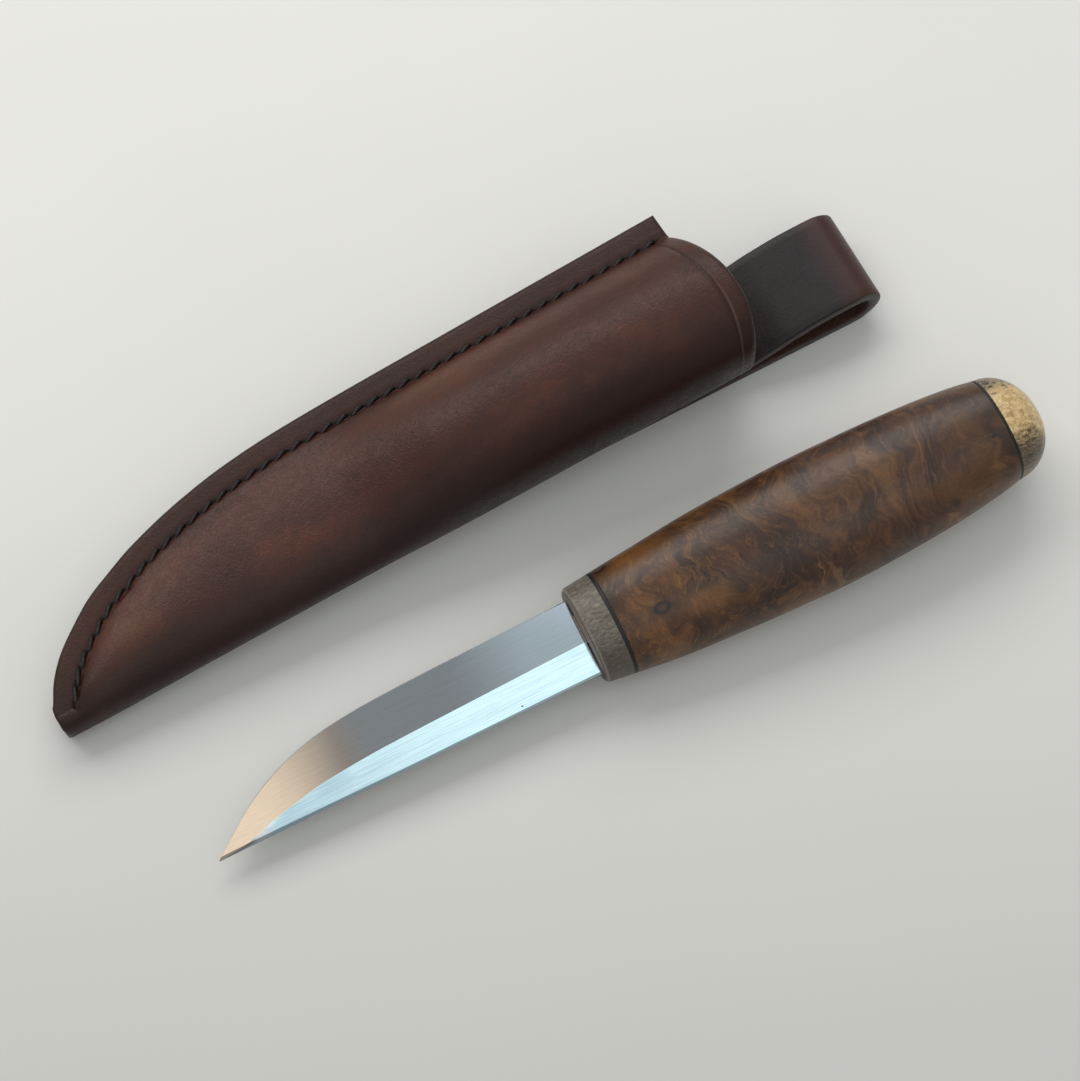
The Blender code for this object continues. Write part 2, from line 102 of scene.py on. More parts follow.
CREST = [(TIP_X, 3.0), (3.0, 3.4), (8.0, 6.0), (20.0, 9.5), (60.0, 11.0), (95.0, 14.0), (MOUTH_X, 15.0)]
FOLD_ROUNDNESS = 2.4
SHOULDER_POWER = {1: 0.8, -1: 0.65}      # front, back
FILLET = {1: 2.0, -1: 1.3}
WELT_WIDTH = 7.0
WELT_FROM_FOLD = [(TIP_X, 1.4), (3.0, 4.3)]
STITCH_INSET = [(TIP_X, 5.1), (MOUTH_X, 5.9)]
STITCH_PITCH = 3.75
STRAP = (5.1, 26.9)
STRAP_START = 116.0
STRAP_FOLD_X = 189.0
STRAP_THICKNESS = [(STRAP_START, 1.8), (140.0, 1.95), (157.0, 2.4), (167.0, 3.0), (STRAP_FOLD_X, 3.0)]
STRAP_UPPER = [(STRAP_START, 3.0), (140.0, 3.25), (150.0, 3.55), (157.0, 3.9), (162.0, 4.8),
               (167.0, 6.3), (174.0, 8.8), (182.0, 10.4), (STRAP_FOLD_X, 10.8)]
LOOP_THREAD_BOX = (119.0, 130.0, 10.0, 18.5)

# ---------------------------------------------------------------- sizes of the finer detail

STATIONS = 330                  # along the sheath
CREASE_FROM_RIM = 3.8
CREASE_DEPTH = 0.32
CREASE_HALF = 0.42
STITCH_GROOVE_DEPTH = 0.22
STITCH_GROOVE_HALF = 0.85
HOLE_DEPTH = 0.8
HOLE_HALF = 0.72
FIRST_HOLE_X = 3.45
STITCH_SLANT = 0.5              # each end's distance from the stitch line
STITCH_SUNK = 0.8               # how far a stitch's ends go into their holes
BURNISH = [(0.0, 0.5), (0.25, 0.72), (0.6, 0.9), (1.1, 1.0)]    # thickness share near a cut edge
THREAD_RADIUS = 0.45
LOOP_THREAD_RADIUS = 0.33
WAVE = 0.12                     # height of the leather's slow unevenness
END_EASE = 0.08                 # length of the rounded corner on each piece of the grip
END_INSET = 0.06                # how far its front rim is drawn in
REAR_INSET = 0.05               # how far its rear rim is drawn in
THINNEST = 0.035                # half thickness of the blade's very point
FAR = 30.0                      # distances past this one aren't told apart


# ---------------------------------------------------------------- curves

def smooth(knots, x):
    """The smooth curve through (x, height) knots, with no overshoot between them."""
    rises = [(b[1] - a[1]) / (b[0] - a[0]) for a, b in zip(knots, knots[1:])]
    middle = [2 * r * s / (r + s) if r * s > 0 else 0.0 for r, s in zip(rises, rises[1:])]
    tangents = [rises[0]] + middle + [rises[-1]]
    x = min(max(x, knots[0][0]), knots[-1][0])
    index = 0
    while index < len(knots) - 2 and x > knots[index + 1][0]:
        index += 1
    (x0, y0), (x1, y1) = knots[index], knots[index + 1]
    span = x1 - x0
    t = (x - x0) / span
    start = y0 * (1 + 2 * t) + tangents[index] * span * t
    end = y1 * (3 - 2 * t) + tangents[index + 1] * span * (t - 1)
    return start * (1 - t) ** 2 + end * t ** 2


def steps(low, high, count):
    """count + 1 evenly spaced values from low to high."""
    return [low + (high - low) * i / count for i in range(count + 1)]


def signed_power(value, power):
    return math.copysign(abs(value) ** power, value)


def bell(value, half):
    """1 at zero, falling smoothly to nearly nothing at two and a half times half."""
    return math.exp(-(value / half) ** 2)


# ---------------------------------------------------------------- objects

def keep_places(mesh):
    """Store each point's own-frame place, in millimetres, for the finishes."""
    places = mesh.attributes.new("place", "FLOAT_VECTOR", "POINT")
    for vert, target in zip(mesh.vertices, places.data):
        target.vector = vert.co / MM


def place(obj, matrix, body, slot, *nodes):
    """Link an object, put it in the CAD frame, attach it to the body it rides on, and hide the CAD parts
    that it stands for.
    """
    bpy.context.scene.collection.objects.link(obj)
    if obj.type == "MESH":
        keep_places(obj.data)
    obj.data.transform(matrix)
    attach(obj, body)
    if nodes:
        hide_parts(*nodes)
    return obj


def finish_mesh(name, bm, sharp_degrees):
    bmesh.ops.recalc_face_normals(bm, faces=bm.faces)
    mesh = bpy.data.meshes.new(name)
    bm.to_mesh(mesh)
    bm.free()
    mesh.shade_smooth()
    mesh.set_sharp_from_angle(angle=math.radians(sharp_degrees))
    return mesh


def loft(name, rings, sharp_degrees=30.0, closed=False, pole=None):
    """A closed mesh through rings of points: capped, or with one end at a pole, or joined end to end."""
    bm = bmesh.new()
    rows = [[bm.verts.new(Vector(point) * MM) for point in ring] for ring in rings]
    sides = len(rows[0])
    following = rows[1:] + rows[:1] if closed else rows[1:]
    for low, high in zip(rows, following):
        for i in range(sides):
            j = (i + 1) % sides
            bm.faces.new((low[i], low[j], high[j], high[i]))
    if not closed:
        bm.faces.new(rows[0])
    if pole is not None:
        top = bm.verts.new(Vector(pole) * MM)
        for i in range(sides):
            bm.faces.new((rows[-1][i], rows[-1][(i + 1) % sides], top))
    elif not closed:
        bm.faces.new(rows[-1])
    return finish_mesh(name, bm, sharp_degrees)


# ---------------------------------------------------------------- knife

def blade_half(x):
    """Half the blade's thickness: an even taper, and a quicker one near the point."""
    start, amount, power = TIP_TAPER
    half = BLADE_HALF - DISTAL_TAPER * (BLADE_END - x) - amount * max(start - x, 0.0) ** power
    return max(half, THINNEST)


def blade_ring(x):
    """Edge, honed strip, bevel, flat and rounded spine corner, then the same on the other side."""
    spine = smooth(SPINE, x)
    shoulder = smooth(BEVEL, x)
    half = blade_half(x)
    honed = min(MICRO_BEVEL, 0.4 * shoulder)
    honed_half = min(EDGE_HALF + honed * MICRO_SLOPE, 0.7 * half)
    corner = min(0.25, 0.3 * half)
    flat_end = max(spine - corner, shoulder + 0.05)
    side = [(0.0, min(EDGE_HALF, 0.3 * half)), (honed, honed_half)]
    side += [(honed + (shoulder - honed) * t, honed_half + (half - honed_half) * t)
             for t in (0.25, 0.5, 0.75)]
    side += [(shoulder + (flat_end - shoulder) * t, half) for t in (0.0, 0.15, 0.35, 0.6, 0.8, 1.0)]
    side += [(spine - corner * 0.3, half - corner * 0.3), (spine, half - corner)]
    return [(x, y, z) for y, z in side] + [(x, y, -z) for y, z in reversed(side)]


def tang_ring(x, heel):
    """The tang's section, point for point with the blade's section at the heel."""
    tall = heel[len(heel) // 2 - 1][1]
    ring = []
    for _, y, z in heel:
        share = 2 * y / tall - 1
        ring.append((x, TANG_CENTRE + TANG_HALF_HEIGHT * share, math.copysign(TANG_HALF_WIDTH, z)))
    return ring


def make_blade(knife, steel):
    """Blade and tang, with each point's distance above the bevel's shoulder stored for the finish."""
    rings = [blade_ring(x) for x in steps(0.0, BLADE_END, 174)]
    rings += [tang_ring(BLADE_END, rings[-1]), tang_ring(TANG_END, rings[-1])]
    mesh = loft("blade_steel", rings, sharp_degrees=6.0)
    above = mesh.attributes.new("shoulder", "FLOAT", "POINT")
    for vert, target in zip(mesh.vertices, above.data):
        target.value = vert.co.y / MM - smooth(BEVEL, vert.co.x / MM)
    blade = bpy.data.objects.new("blade_steel", mesh)
    blade.data.materials.append(steel)
    return place(blade, knife, "knife", "steel", "blade")


def oval(x, inset=0.0, scale=1.0):
    """The grip's cross-section at x, shrunk by inset and scaled."""
    centre = smooth(GRIP_CENTRE, x)
    height = smooth(GRIP_HALF_HEIGHT, x) * scale - inset
    width = smooth(GRIP_HALF_WIDTH, x) * scale - inset
    ring = []
    for i in range(GRIP_SIDES):
        angle = 2 * math.pi * i / GRIP_SIDES
        y = centre + height * signed_power(math.cos(angle), 2 / GRIP_ROUNDNESS)
        z = width * signed_power(math.sin(angle), 2 / GRIP_ROUNDNESS)
        ring.append((x, y, z))
    return ring


def slot_ring(x, wall):
    """The tang's slot at x, with the grip's number of points."""
    ring = []
    for i in range(GRIP_SIDES):
        angle = 2 * math.pi * i / GRIP_SIDES
        y = TANG_CENTRE + (TANG_HALF_HEIGHT + wall) * signed_power(math.cos(angle), 0.12)
        z = (TANG_HALF_WIDTH + wall) * signed_power(math.sin(angle), 0.12)
        ring.append((x, y, z))
    return ring


def sleeve(name, span, count, wall, chamfer=0.0):
    """A piece of the grip that the tang goes right through."""
    low, high = span
    start = low + END_EASE + chamfer
    outer = [oval(low, END_INSET + chamfer)] + [oval(x) for x in steps(start, high - END_EASE, count)]
    outer += [oval(high, REAR_INSET)]
    return loft(name, outer + [slot_ring(high, wall), slot_ring(low, wall)], closed=True)


def make_butt_cap(knife, antler):
    """The domed end: the tang's blind slot from its floor out, then the outside up to the pole."""
    low, high = BUTT_CAP
    dome = [oval(low, REAR_INSET)]
    for angle in steps(0.0, math.pi / 2, 26)[:-1]:
        x = low + END_INSET + (high - low - END_INSET) * math.sin(angle)
        dome.append(oval(x, scale=math.cos(angle) ** 0.94))
    bottom = slot_ring(TANG_END + GAP, GAP)
    floor = [(x, TANG_CENTRE + (y - TANG_CENTRE) * 0.2, z * 0.2) for x, y, z in bottom]
    rings = [floor, bottom, slot_ring(low, GAP)] + dome
    mesh = loft("butt_cap_antler", rings, pole=(high, smooth(GRIP_CENTRE, high), 0.0))
    cap = bpy.data.objects.new("butt_cap_antler", mesh)
    mesh.materials.append(antler)
    return place(cap, knife, "knife", "antler", "butt_cap")


def make_grip(knife, materials):
    """The grip's pieces in order: name, ends, rings, slot wall, chamfer, finish, slot and node."""
    pieces = [
        ("bolster_antler", BOLSTER, 12, GAP, 0.45, "bolster_antler", "antler", "bolster"),
        ("front_spacer_fibre", FRONT_SPACER, 2, GAP, 0.0, "fibre", "fibre", "front_spacer"),
        ("handle_burl", HANDLE, 150, 2 * GAP + BEDDING_WALL, 0.0, "burl", "burl", "handle"),
        ("rear_spacer_fibre", REAR_SPACER, 2, GAP, 0.0, "fibre", "fibre", "rear_spacer"),
    ]
    for name, span, count, wall, chamfer, finish, slot, node in pieces:
        mesh = sleeve(name, span, count, wall, chamfer)
        mesh.materials.append(materials[finish])
        place(bpy.data.objects.new(name, mesh), knife, "knife", slot, node)
    make_butt_cap(knife, materials["cap_antler"])


def knife_rest_height():
    """The height of the knife's point, with the tilted grip touching the floor."""
    return max(smooth(GRIP_HALF_WIDTH, x) * math.cos(KNIFE_TILT) - x * math.sin(KNIFE_TILT)
               for x in steps(BOLSTER[0], HANDLE[1], 60))


# ---------------------------------------------------------------- sheath

def seam_plane(x):
    """Height of the plane between the two layers, which rises to the mouth."""
    return SEAM_PLANE_LOW + SEAM_PLANE_SLOPE * x


def fold_point(x):
    return Vector((x, FOLD_DRIFT * x / MOUTH_X))


def edge_point(x):
    """The point of the seam's cut edge that belongs to the fold's point at x."""
    return Vector((smooth(EDGE_X, x), smooth(EDGE_Y, x)))


def soft_max(a, b, reach):
    """The larger of two heights, with a fillet where they cross."""
    overlap = max(reach - abs(a - b), 0.0) / reach
    return max(a, b) + overlap * overlap * reach / 4


class Section:
    """The leather's middle surface on the section through the fold's point at x."""

    def __init__(self, x):
        self.x = x
        self.fold = fold_point(x)
        self.edge = edge_point(x)
        self.length = (self.edge - self.fold).length
        tangent = edge_point(x + 0.5) - edge_point(x - 0.5)
        across = self.fold - self.edge
        self.turn = max(abs(tangent.normalized().cross(across.normalized())), 0.3)
        self.crest = smooth(CREST, x)
        self.rim = max(self.length - WELT_WIDTH / self.turn, self.crest + 0.5)
        self.stitch = max(self.length - smooth(STITCH_INSET, x) / self.turn, self.rim)
        self.start = LEATHER / 2
        self.heights = {
            1: max(smooth(FRONT_HEIGHT, x) - LEATHER / 2, FLANGE_MID),
            -1: max(smooth(BACK_HEIGHT, x) - LEATHER / 2, FLANGE_MID),
        }

    def height(self, r, side):
        """Distance from the seam plane at r from the fold, on the front (1) or back (-1)."""
        top = self.heights[side]
        if r <= self.crest:
            share = min(max((self.crest - r) / (self.crest - self.start), 0.0), 1.0)
            return top * (1 - share ** FOLD_ROUNDNESS) ** (1 / FOLD_ROUNDNESS)
        fillet = max(min(FILLET[side], top - FLANGE_MID), 0.01)
        if r >= self.rim:
            return soft_max(FLANGE_MID, FLANGE_MID + self.rim - r, fillet)
        share = (r - self.crest) / (self.rim - self.crest)
        rise = (top - FLANGE_MID) * (1 - share * share) ** SHOULDER_POWER[side]
        return soft_max(FLANGE_MID, FLANGE_MID + rise, fillet)

    def point(self, r, height):
        """The point at r from the fold and at a height off the seam plane."""
        place_on = self.fold.lerp(self.edge, r / self.length)
        grown = max(self.x - MOUTH_BULGE_FROM, 0.0) / (MOUTH_X - MOUTH_BULGE_FROM)
        across = min(max(r / (self.length - WELT_WIDTH), 0.0), 1.0)
        x = place_on.x + MOUTH_BULGE * grown ** 2 * math.sin(math.pi * across ** 0.8)
        grown = max(TIP_BULGE_TO - self.x, 0.0) / (TIP_BULGE_TO - TIP_X)
        x -= TIP_BULGE * grown ** 2 * math.sin(math.pi * r / self.length)
        return Vector((x, place_on.y, seam_plane(self.x) + height))


def stitch_runs(stations):
    """Arc length along the stitch line at each station, one pitch at the first hole."""
    runs, previous = [0.0], None
    for x in stations:
        section = Section(x)
        point = section.point(section.stitch, 0.0)
        if previous is not None:
            runs.append(runs[-1] + (point - previous).length)
        previous = point
    pairs = list(zip(stations, runs))
    (xa, a), (xb, b) = next(two for two in zip(pairs, pairs[1:]) if two[1][0] >= FIRST_HOLE_X)
    first = a + (b - a) * (FIRST_HOLE_X - xa) / (xb - xa)
    return [max(run - first + STITCH_PITCH, 0.0) for run in runs]


def across_radii(section):
    """Distances from the fold along the section, closer together over the seam and the fold."""
    reach = FILLET[1]
    seam = min(section.rim + reach, section.length - 2.0)
    shares = (0, 0.03, 0.07, 0.13, 0.2, 0.3, 0.4, 0.48, 0.55, 0.62, 0.69, 0.76, 0.83, 0.9, 1)
    quarter = math.pi / 2
    flange = [section.length - share * (section.length - seam) for share in shares]
    foot = [section.rim + (seam - section.rim) * share for share in (0.8, 0.6, 0.4, 0.2)]
    body = [section.crest + (section.rim - section.crest) * math.cos(angle)
            for angle in steps(0.0, quarter, 26)]
    turn = [section.crest - (section.crest - section.start) * math.sin(angle)
            for angle in steps(0.0, quarter, 20)[1:-1]]
    return flange + foot + body + turn


def pressed(section, r, rim_distance, run):
    """How deep the leather is pressed in: crease by the mouth, stitch groove and stitch holes."""
    on_body = 1.0 if r < section.stitch else 0.0
    depth = on_body * CREASE_DEPTH * bell(rim_distance - CREASE_FROM_RIM, CREASE_HALF)
    off = (r - section.stitch) * section.turn
    started = min(run / STITCH_PITCH, 1.0)
    depth += started * STITCH_GROOVE_DEPTH * bell(off, STITCH_GROOVE_HALF)
    phase = (run / STITCH_PITCH) % 1.0
    along = min(phase, 1.0 - phase) * STITCH_PITCH if run > STITCH_PITCH / 2 else STITCH_PITCH
    depth += HOLE_DEPTH * bell(math.hypot(off, along), HOLE_HALF)
    return depth


def leather_point(section, r, side, run):
    """A point of the leather's middle surface, its thickness share and its facts for the finish."""
    rim_distance = MOUTH_X - section.x
    edge_distance = (section.length - r) * section.turn
    height = section.height(r, side) - pressed(section, r, rim_distance, run) if side else 0.0
    point = section.point(r, side * height)
    if r < section.rim:
        slow = Vector((point.x * 0.045, point.y * 0.07, side * 3.0))
        point.z += side * noise.noise(slow) * WAVE * min((section.rim - r) / 3.0, 1.0)
    share = smooth(BURNISH, min(edge_distance, rim_distance, section.x - TIP_X + 0.6))
    facts = {
        "rim": min(rim_distance, edge_distance, FAR),
        "mouth": min(rim_distance, FAR),
        "seam": (section.stitch - r) * section.turn,
        "run": run,
        "fold": r,
    }
    return point, share, facts


def leather_grid(stations, runs):
    """The leather's middle surface, a row of points for each station, front edge to back edge."""
    grid = []
    for x, run in zip(stations, runs):
        section = Section(x)
        radii = across_radii(section)
        path = [(r, 1) for r in radii] + [(section.start, 0)] + [(r, -1) for r in reversed(radii)]
        grid.append([leather_point(section, r, side, run) for r, side in path])
    return grid


def sheet_normal(grid, i, j):
    """The outward direction of the middle surface at a grid point."""
    row, column = grid[i], [line[j][0] for line in grid[max(i - 1, 0):i + 2]]
    along = column[-1] - column[0]
    across = row[min(j + 1, len(row) - 1)][0] - row[max(j - 1, 0)][0]
    return across.cross(along).normalized()


def leather_sheets(bm, grid):
    """The leather's outside (1) and inside (-1), as rows of vertices that carry the facts."""
    layers = {name: bm.verts.layers.float.new(name) for name in grid[0][0][2]}
    sheets = {1: [], -1: []}
    for i, row in enumerate(grid):
        lines = {1: [], -1: []}
        for j, (point, share, facts) in enumerate(row):
            normal = sheet_normal(grid, i, j)
            for way, line in lines.items():
                vert = bm.verts.new((point + normal * (way * share * LEATHER / 2)) * MM)
                for name, value in facts.items():
                    vert[layers[name]] = value
                line.append(vert)
        for way, line in lines.items():
            sheets[way].append(line)
    return sheets


def leather_border(rows):
    """A sheet's vertices all the way round."""
    right = [line[-1] for line in rows[1:-1]]
    left = [line[0] for line in rows[-2:0:-1]]
    return rows[0] + right + rows[-1][::-1] + left


def make_sheath(sheath, materials):
    """One sheet of leather, from the front edge over the front, round the fold and to the back edge."""
    stations = steps(TIP_X, MOUTH_X, STATIONS)
    bm = bmesh.new()
    sheets = leather_sheets(bm, leather_grid(stations, stitch_runs(stations)))
    for way, material in ((1, 0), (-1, 1)):
        for low, high in zip(sheets[way], sheets[way][1:]):
            for j in range(len(low) - 1):
                face = bm.faces.new((low[j], low[j + 1], high[j + 1], high[j]))
                face.material_index = material
    outer, inner = leather_border(sheets[1]), leather_border(sheets[-1])
    for j in range(len(outer)):
        k = (j + 1) % len(outer)
        bm.faces.new((outer[j], outer[k], inner[k], inner[j])).material_index = 2
    leather = bpy.data.objects.new("sheath_hide", finish_mesh("sheath_hide", bm, 180.0))
    for key in ("hide", "flesh", "cut_edge"):
        leather.data.materials.append(materials[key])
    return place(leather, sheath, "sheath", "hide", "sheath_leather")


def make_welt(sheath, leather):
    """The strip between the two layers, with its cut edge rubbed round."""
    rings = []
    half = WELT / 2
    for x in steps(TIP_X + 0.3, MOUTH_X - 0.2, 160):
        section = Section(x)
        inner = max(section.length - (WELT_WIDTH - GAP) / section.turn, smooth(WELT_FROM_FOLD, x))
        rounded, outer = section.length - 0.35, section.length - 0.12
        profile = [(inner, -half), (rounded, -half), (outer, -half * 0.6),
                   (outer, half * 0.6), (rounded, half), (inner, half)]
        rings.append([section.point(r, height) for r, height in profile])
    mesh = loft("welt_strip", rings, sharp_degrees=50)
    mesh.materials.append(leather)
    return place(bpy.data.objects.new("welt_strip", mesh), sheath, "sheath", "welt_hide", "welt")


def stitch_points(side):
    """Each stitch hole's place on the leather's surface, with the surface's sideways direction."""
    stations = steps(TIP_X, MOUTH_X, 1200)
    runs = stitch_runs(stations)
    holes = []
    for x, run in zip(stations, runs):
        if run >= STITCH_PITCH * (len(holes) + 1) and x < MOUTH_X - 0.8:
            section = Section(x)
            height = section.height(section.stitch, side) + LEATHER / 2 - STITCH_GROOVE_DEPTH
            centre = section.point(section.stitch, side * height)
            outward = (section.edge - section.fold).normalized()
            holes.append((centre, Vector((outward.x, outward.y, 0.0))))
    return holes


def thread_curve(name, runs, radius):
    """Waxed thread: a round tube along each run of points."""
    curve = bpy.data.curves.new(name, "CURVE")
    curve.dimensions = "3D"
    curve.bevel_depth = radius * MM
    curve.bevel_resolution = 3
    curve.use_fill_caps = True
    for run in runs:
        spline = curve.splines.new("POLY")
        spline.points.add(len(run) - 1)
        for target, point in zip(spline.points, run):
            target.co = (*(Vector(point) * MM), 1.0)
    return curve


def stitch(start, end, side):
    """One stitch between two holes: it leaves on the fold's side and enters on the edge's side."""
    (place_a, out_a), (place_b, out_b) = start, end
    run = []
    for t in steps(0.0, 1.0, 12):
        middle = place_a.lerp(place_b, 0.02 + 0.96 * t)
        sideways = out_a.lerp(out_b, t) * STITCH_SLANT * math.sin(math.pi * (t - 0.5))
        arch = 1 - abs(2 * t - 1) ** 2.6
        rise = arch * (STITCH_SUNK + THREAD_RADIUS) - STITCH_SUNK
        run.append(middle + sideways + Vector((0, 0, side * rise)))
    return run


def make_stitches(sheath, thread):
    """The saddle stitch's runs on the front and on the back."""
    for name, side in (("front", 1), ("back", -1)):
        holes = stitch_points(side)
        runs = [stitch(start, end, side) for start, end in zip(holes, holes[1:])]
        curve = thread_curve("stitches_" + name, runs, THREAD_RADIUS)
        curve.materials.append(thread)
        stitches = bpy.data.objects.new("stitches_" + name, curve)
        place(stitches, sheath, "sheath", "thread", "seam_thread_" + name)


def strap_line():
    """The strap's middle line in side view, from its under end round the fold: (x, z, thickness)."""
    middle = []
    for x in steps(STRAP_START, STRAP_FOLD_X, 40):
        thickness = smooth(STRAP_THICKNESS, x)
        middle.append((x, thickness / 2, thickness))
    thickness = STRAP_THICKNESS[-1][1]
    low, high = thickness / 2, STRAP_UPPER[-1][1]
    radius = (high - low) / 2
    for angle in steps(0.0, math.pi, 28)[1:-1]:
        x = STRAP_FOLD_X + radius * math.sin(angle)
        middle.append((x, low + radius - radius * math.cos(angle), thickness))
    for x in reversed(steps(STRAP_START, STRAP_FOLD_X, 60)):
        middle.append((x, smooth(STRAP_UPPER, x), smooth(STRAP_THICKNESS, x)))
    return middle


def strap_ring(x, z, thickness, along):
    """The strap's section at a point of its middle line: outside edge to edge, then the inside."""
    normal = Vector((along.y, -along.x))
    half = thickness / 2
    narrow = 0.12 * bell(x - STRAP_FOLD_X - 3.5, 3.0)
    low, high = STRAP[0] + narrow, STRAP[1] - narrow
    across = [low, low + 0.16, low + 0.4] + steps(STRAP[0] + 2.0, STRAP[1] - 2.0, 8)
    across += [high - 0.4, high - 0.16, high]
    edge_drop = [0.3, 0.1] + [0.0] * (len(across) - 4) + [0.1, 0.3]
    outside = [(y, half - drop) for y, drop in zip(across, edge_drop)]
    inside = [(y, -h) for y, h in reversed(outside)]
    return [(x + normal.x * h, y, z + normal.y * h) for y, h in outside + inside]


def finish_strap_sides(mesh, sides):
    """Flesh on the strap's inside (1) and burnished leather on its cut edges (2)."""
    for face in mesh.polygons:
        columns = sorted(v % sides for v in face.vertices)
        first, last = columns[0], columns[-1]
        wraps = first == 0 and last == sides - 1
        turns = first == sides // 2 - 1 and last == sides // 2
        if len(columns) == 4:
            face.material_index = 2 if wraps or turns else int(first >= sides // 2)


def make_belt_loop(sheath, materials):
    """The strap, with its flesh side inside the loop and rounded, burnished edges."""
    middle = strap_line()
    rings = []
    for i, (x, z, thickness) in enumerate(middle):
        before, after = middle[max(i - 1, 0)], middle[min(i + 1, len(middle) - 1)]
        along = Vector((after[0] - before[0], after[1] - before[1])).normalized()
        rings.append(strap_ring(x, z, thickness, along))
    mesh = loft("belt_loop_strap", rings, sharp_degrees=55)
    for key in ("strap", "flesh", "cut_edge"):
        mesh.materials.append(materials[key])
    finish_strap_sides(mesh, len(rings[0]))
    strap = bpy.data.objects.new("belt_loop_strap", mesh)
    return place(strap, sheath, "sheath", "hide", "belt_loop")


def make_loop_stitches(sheath, thread):
    """The ring of stitches on the inside of the back that holds the strap's ends."""
    x0, x1, r0, r1 = LOOP_THREAD_BOX
    corners = [(x0, r0), (x1, r0), (x1, r1), (x0, r1)]
    places = []
    for (xa, ra), (xb, rb) in zip(corners, corners[1:] + corners[:1]):
        for share in steps(0.0, 1.0, 3)[:-1]:
            places.append((xa + (xb - xa) * share, ra + (rb - ra) * share))
    runs = []
    for (xa, ra), (xb, rb) in zip(places, places[1:] + places[:1]):
        run = []
        for t in steps(0.0, 1.0, 8):
            section = Section(xa + (xb - xa) * t)
            r = ra + (rb - ra) * t
            lift = 0.35 - 0.9 * abs(2 * t - 1) ** 3
            run.append(section.point(r, -(section.height(r, -1) - LEATHER / 2 - lift)))
        runs.append(run)
    curve = thread_curve("loop_stitches", runs, LOOP_THREAD_RADIUS)
    curve.materials.append(thread)
    stitches = bpy.data.objects.new("loop_stitches", curve)
    return place(stitches, sheath, "sheath", "thread", "loop_thread")


# ---------------------------------------------------------------- nodes

def rgb(red, green, blue):
    """Linear colour from 8-bit display values."""
    values = [value / 255 for value in (red, green, blue)]
    return tuple(v / 12.92 if v <= 0.04045 else ((v + 0.055) / 1.055) ** 2.4 for v in values) + (1.0,)


class Nodes:
    """A node tree, with one short method for each kind of node."""

    def __init__(self, tree):
        self.tree = tree

    def node(self, kind, **settings):
        made = self.tree.nodes.new(kind)
        for key, value in settings.items():
            setattr(made, key, value)
        return made

    def feed(self, socket, value):
        if isinstance(value, bpy.types.NodeSocket):
            self.tree.links.new(value, socket)
        elif value is not None:
            socket.default_value = value

    def fill(self, made, **values):
        """Set sockets by name, with an underscore for each space."""
        for key, value in values.items():
            self.feed(made.inputs[key.replace("_", " ")], value)

    def scaled(self, vector, scale):
        made = self.node("ShaderNodeMapping")
        self.fill(made, Vector=vector, Scale=scale if isinstance(scale, tuple) else (scale,) * 3)
        return made.outputs["Vector"]

    def along(self, vector, axis):
        made = self.node("ShaderNodeVectorMath", operation="DOT_PRODUCT")
        self.feed(made.inputs[0], vector)
        self.feed(made.inputs[1], axis)
        return made.outputs["Value"]

    def sum(self, first, second, operation="ADD"):
        made = self.node("ShaderNodeMath", operation=operation)
        self.feed(made.inputs[0], first)
        self.feed(made.inputs[1], second)
        return made.outputs[0]

    def times(self, first, second):
        return self.sum(first, second, "MULTIPLY")

    def off(self, value, centre):
        """How far a value is from a centre."""
        return self.sum(self.sum(value, centre, "SUBTRACT"), 0.0, "ABSOLUTE")

    def moved(self, vector, by, amount):
        """vector shifted by a colour-valued noise, centred on zero."""
        centred = self.node("ShaderNodeVectorMath", operation="SUBTRACT")
        self.feed(centred.inputs[0], by)
        self.feed(centred.inputs[1], (0.5, 0.5, 0.5))
        made = self.node("ShaderNodeVectorMath", operation="MULTIPLY_ADD")
        self.feed(made.inputs[0], centred.outputs[0])
        self.feed(made.inputs[1], (amount,) * 3)
        self.feed(made.inputs[2], vector)
        return made.outputs[0]

    def noise(self, vector, scale, detail=3.0, rough=0.5, distortion=0.0, colour=False):
        made = self.node("ShaderNodeTexNoise")
        self.fill(made, Vector=vector, Scale=scale, Detail=detail, Roughness=rough, Distortion=distortion)
        return made.outputs["Color" if colour else "Fac"]

    def cells(self, vector, scale, feature="F1"):
        made = self.node("ShaderNodeTexVoronoi", feature=feature)
        self.fill(made, Vector=vector, Scale=scale)
        return made.outputs["Distance"]

    def ramp(self, value, *stops):
        """Colours by value: each stop is a place and an 8-bit colour."""
        made = self.node("ShaderNodeValToRGB")
        self.feed(made.inputs[0], value)
        elements = made.color_ramp.elements
        while len(elements) < len(stops):
            elements.new(0.5)
        for element, (position, *colour) in zip(elements, stops):
            element.position = position
            element.color = rgb(*colour)
        return made.outputs["Color"]

    def range(self, value, low, high, to_low=0.0, to_high=1.0):
        """A smooth step from to_low to to_high while value goes from low to high."""
        made = self.node("ShaderNodeMapRange", interpolation_type="SMOOTHSTEP")
        self.fill(made, Value=value, From_Min=low, From_Max=high, To_Min=to_low, To_Max=to_high)
        return made.outputs["Result"]

    def mix(self, share, first, second):
        made = self.node("ShaderNodeMix", data_type="RGBA")
        for index, value in ((0, share), (6, first), (7, second)):
            self.feed(made.inputs[index], value)
        return made.outputs[2]


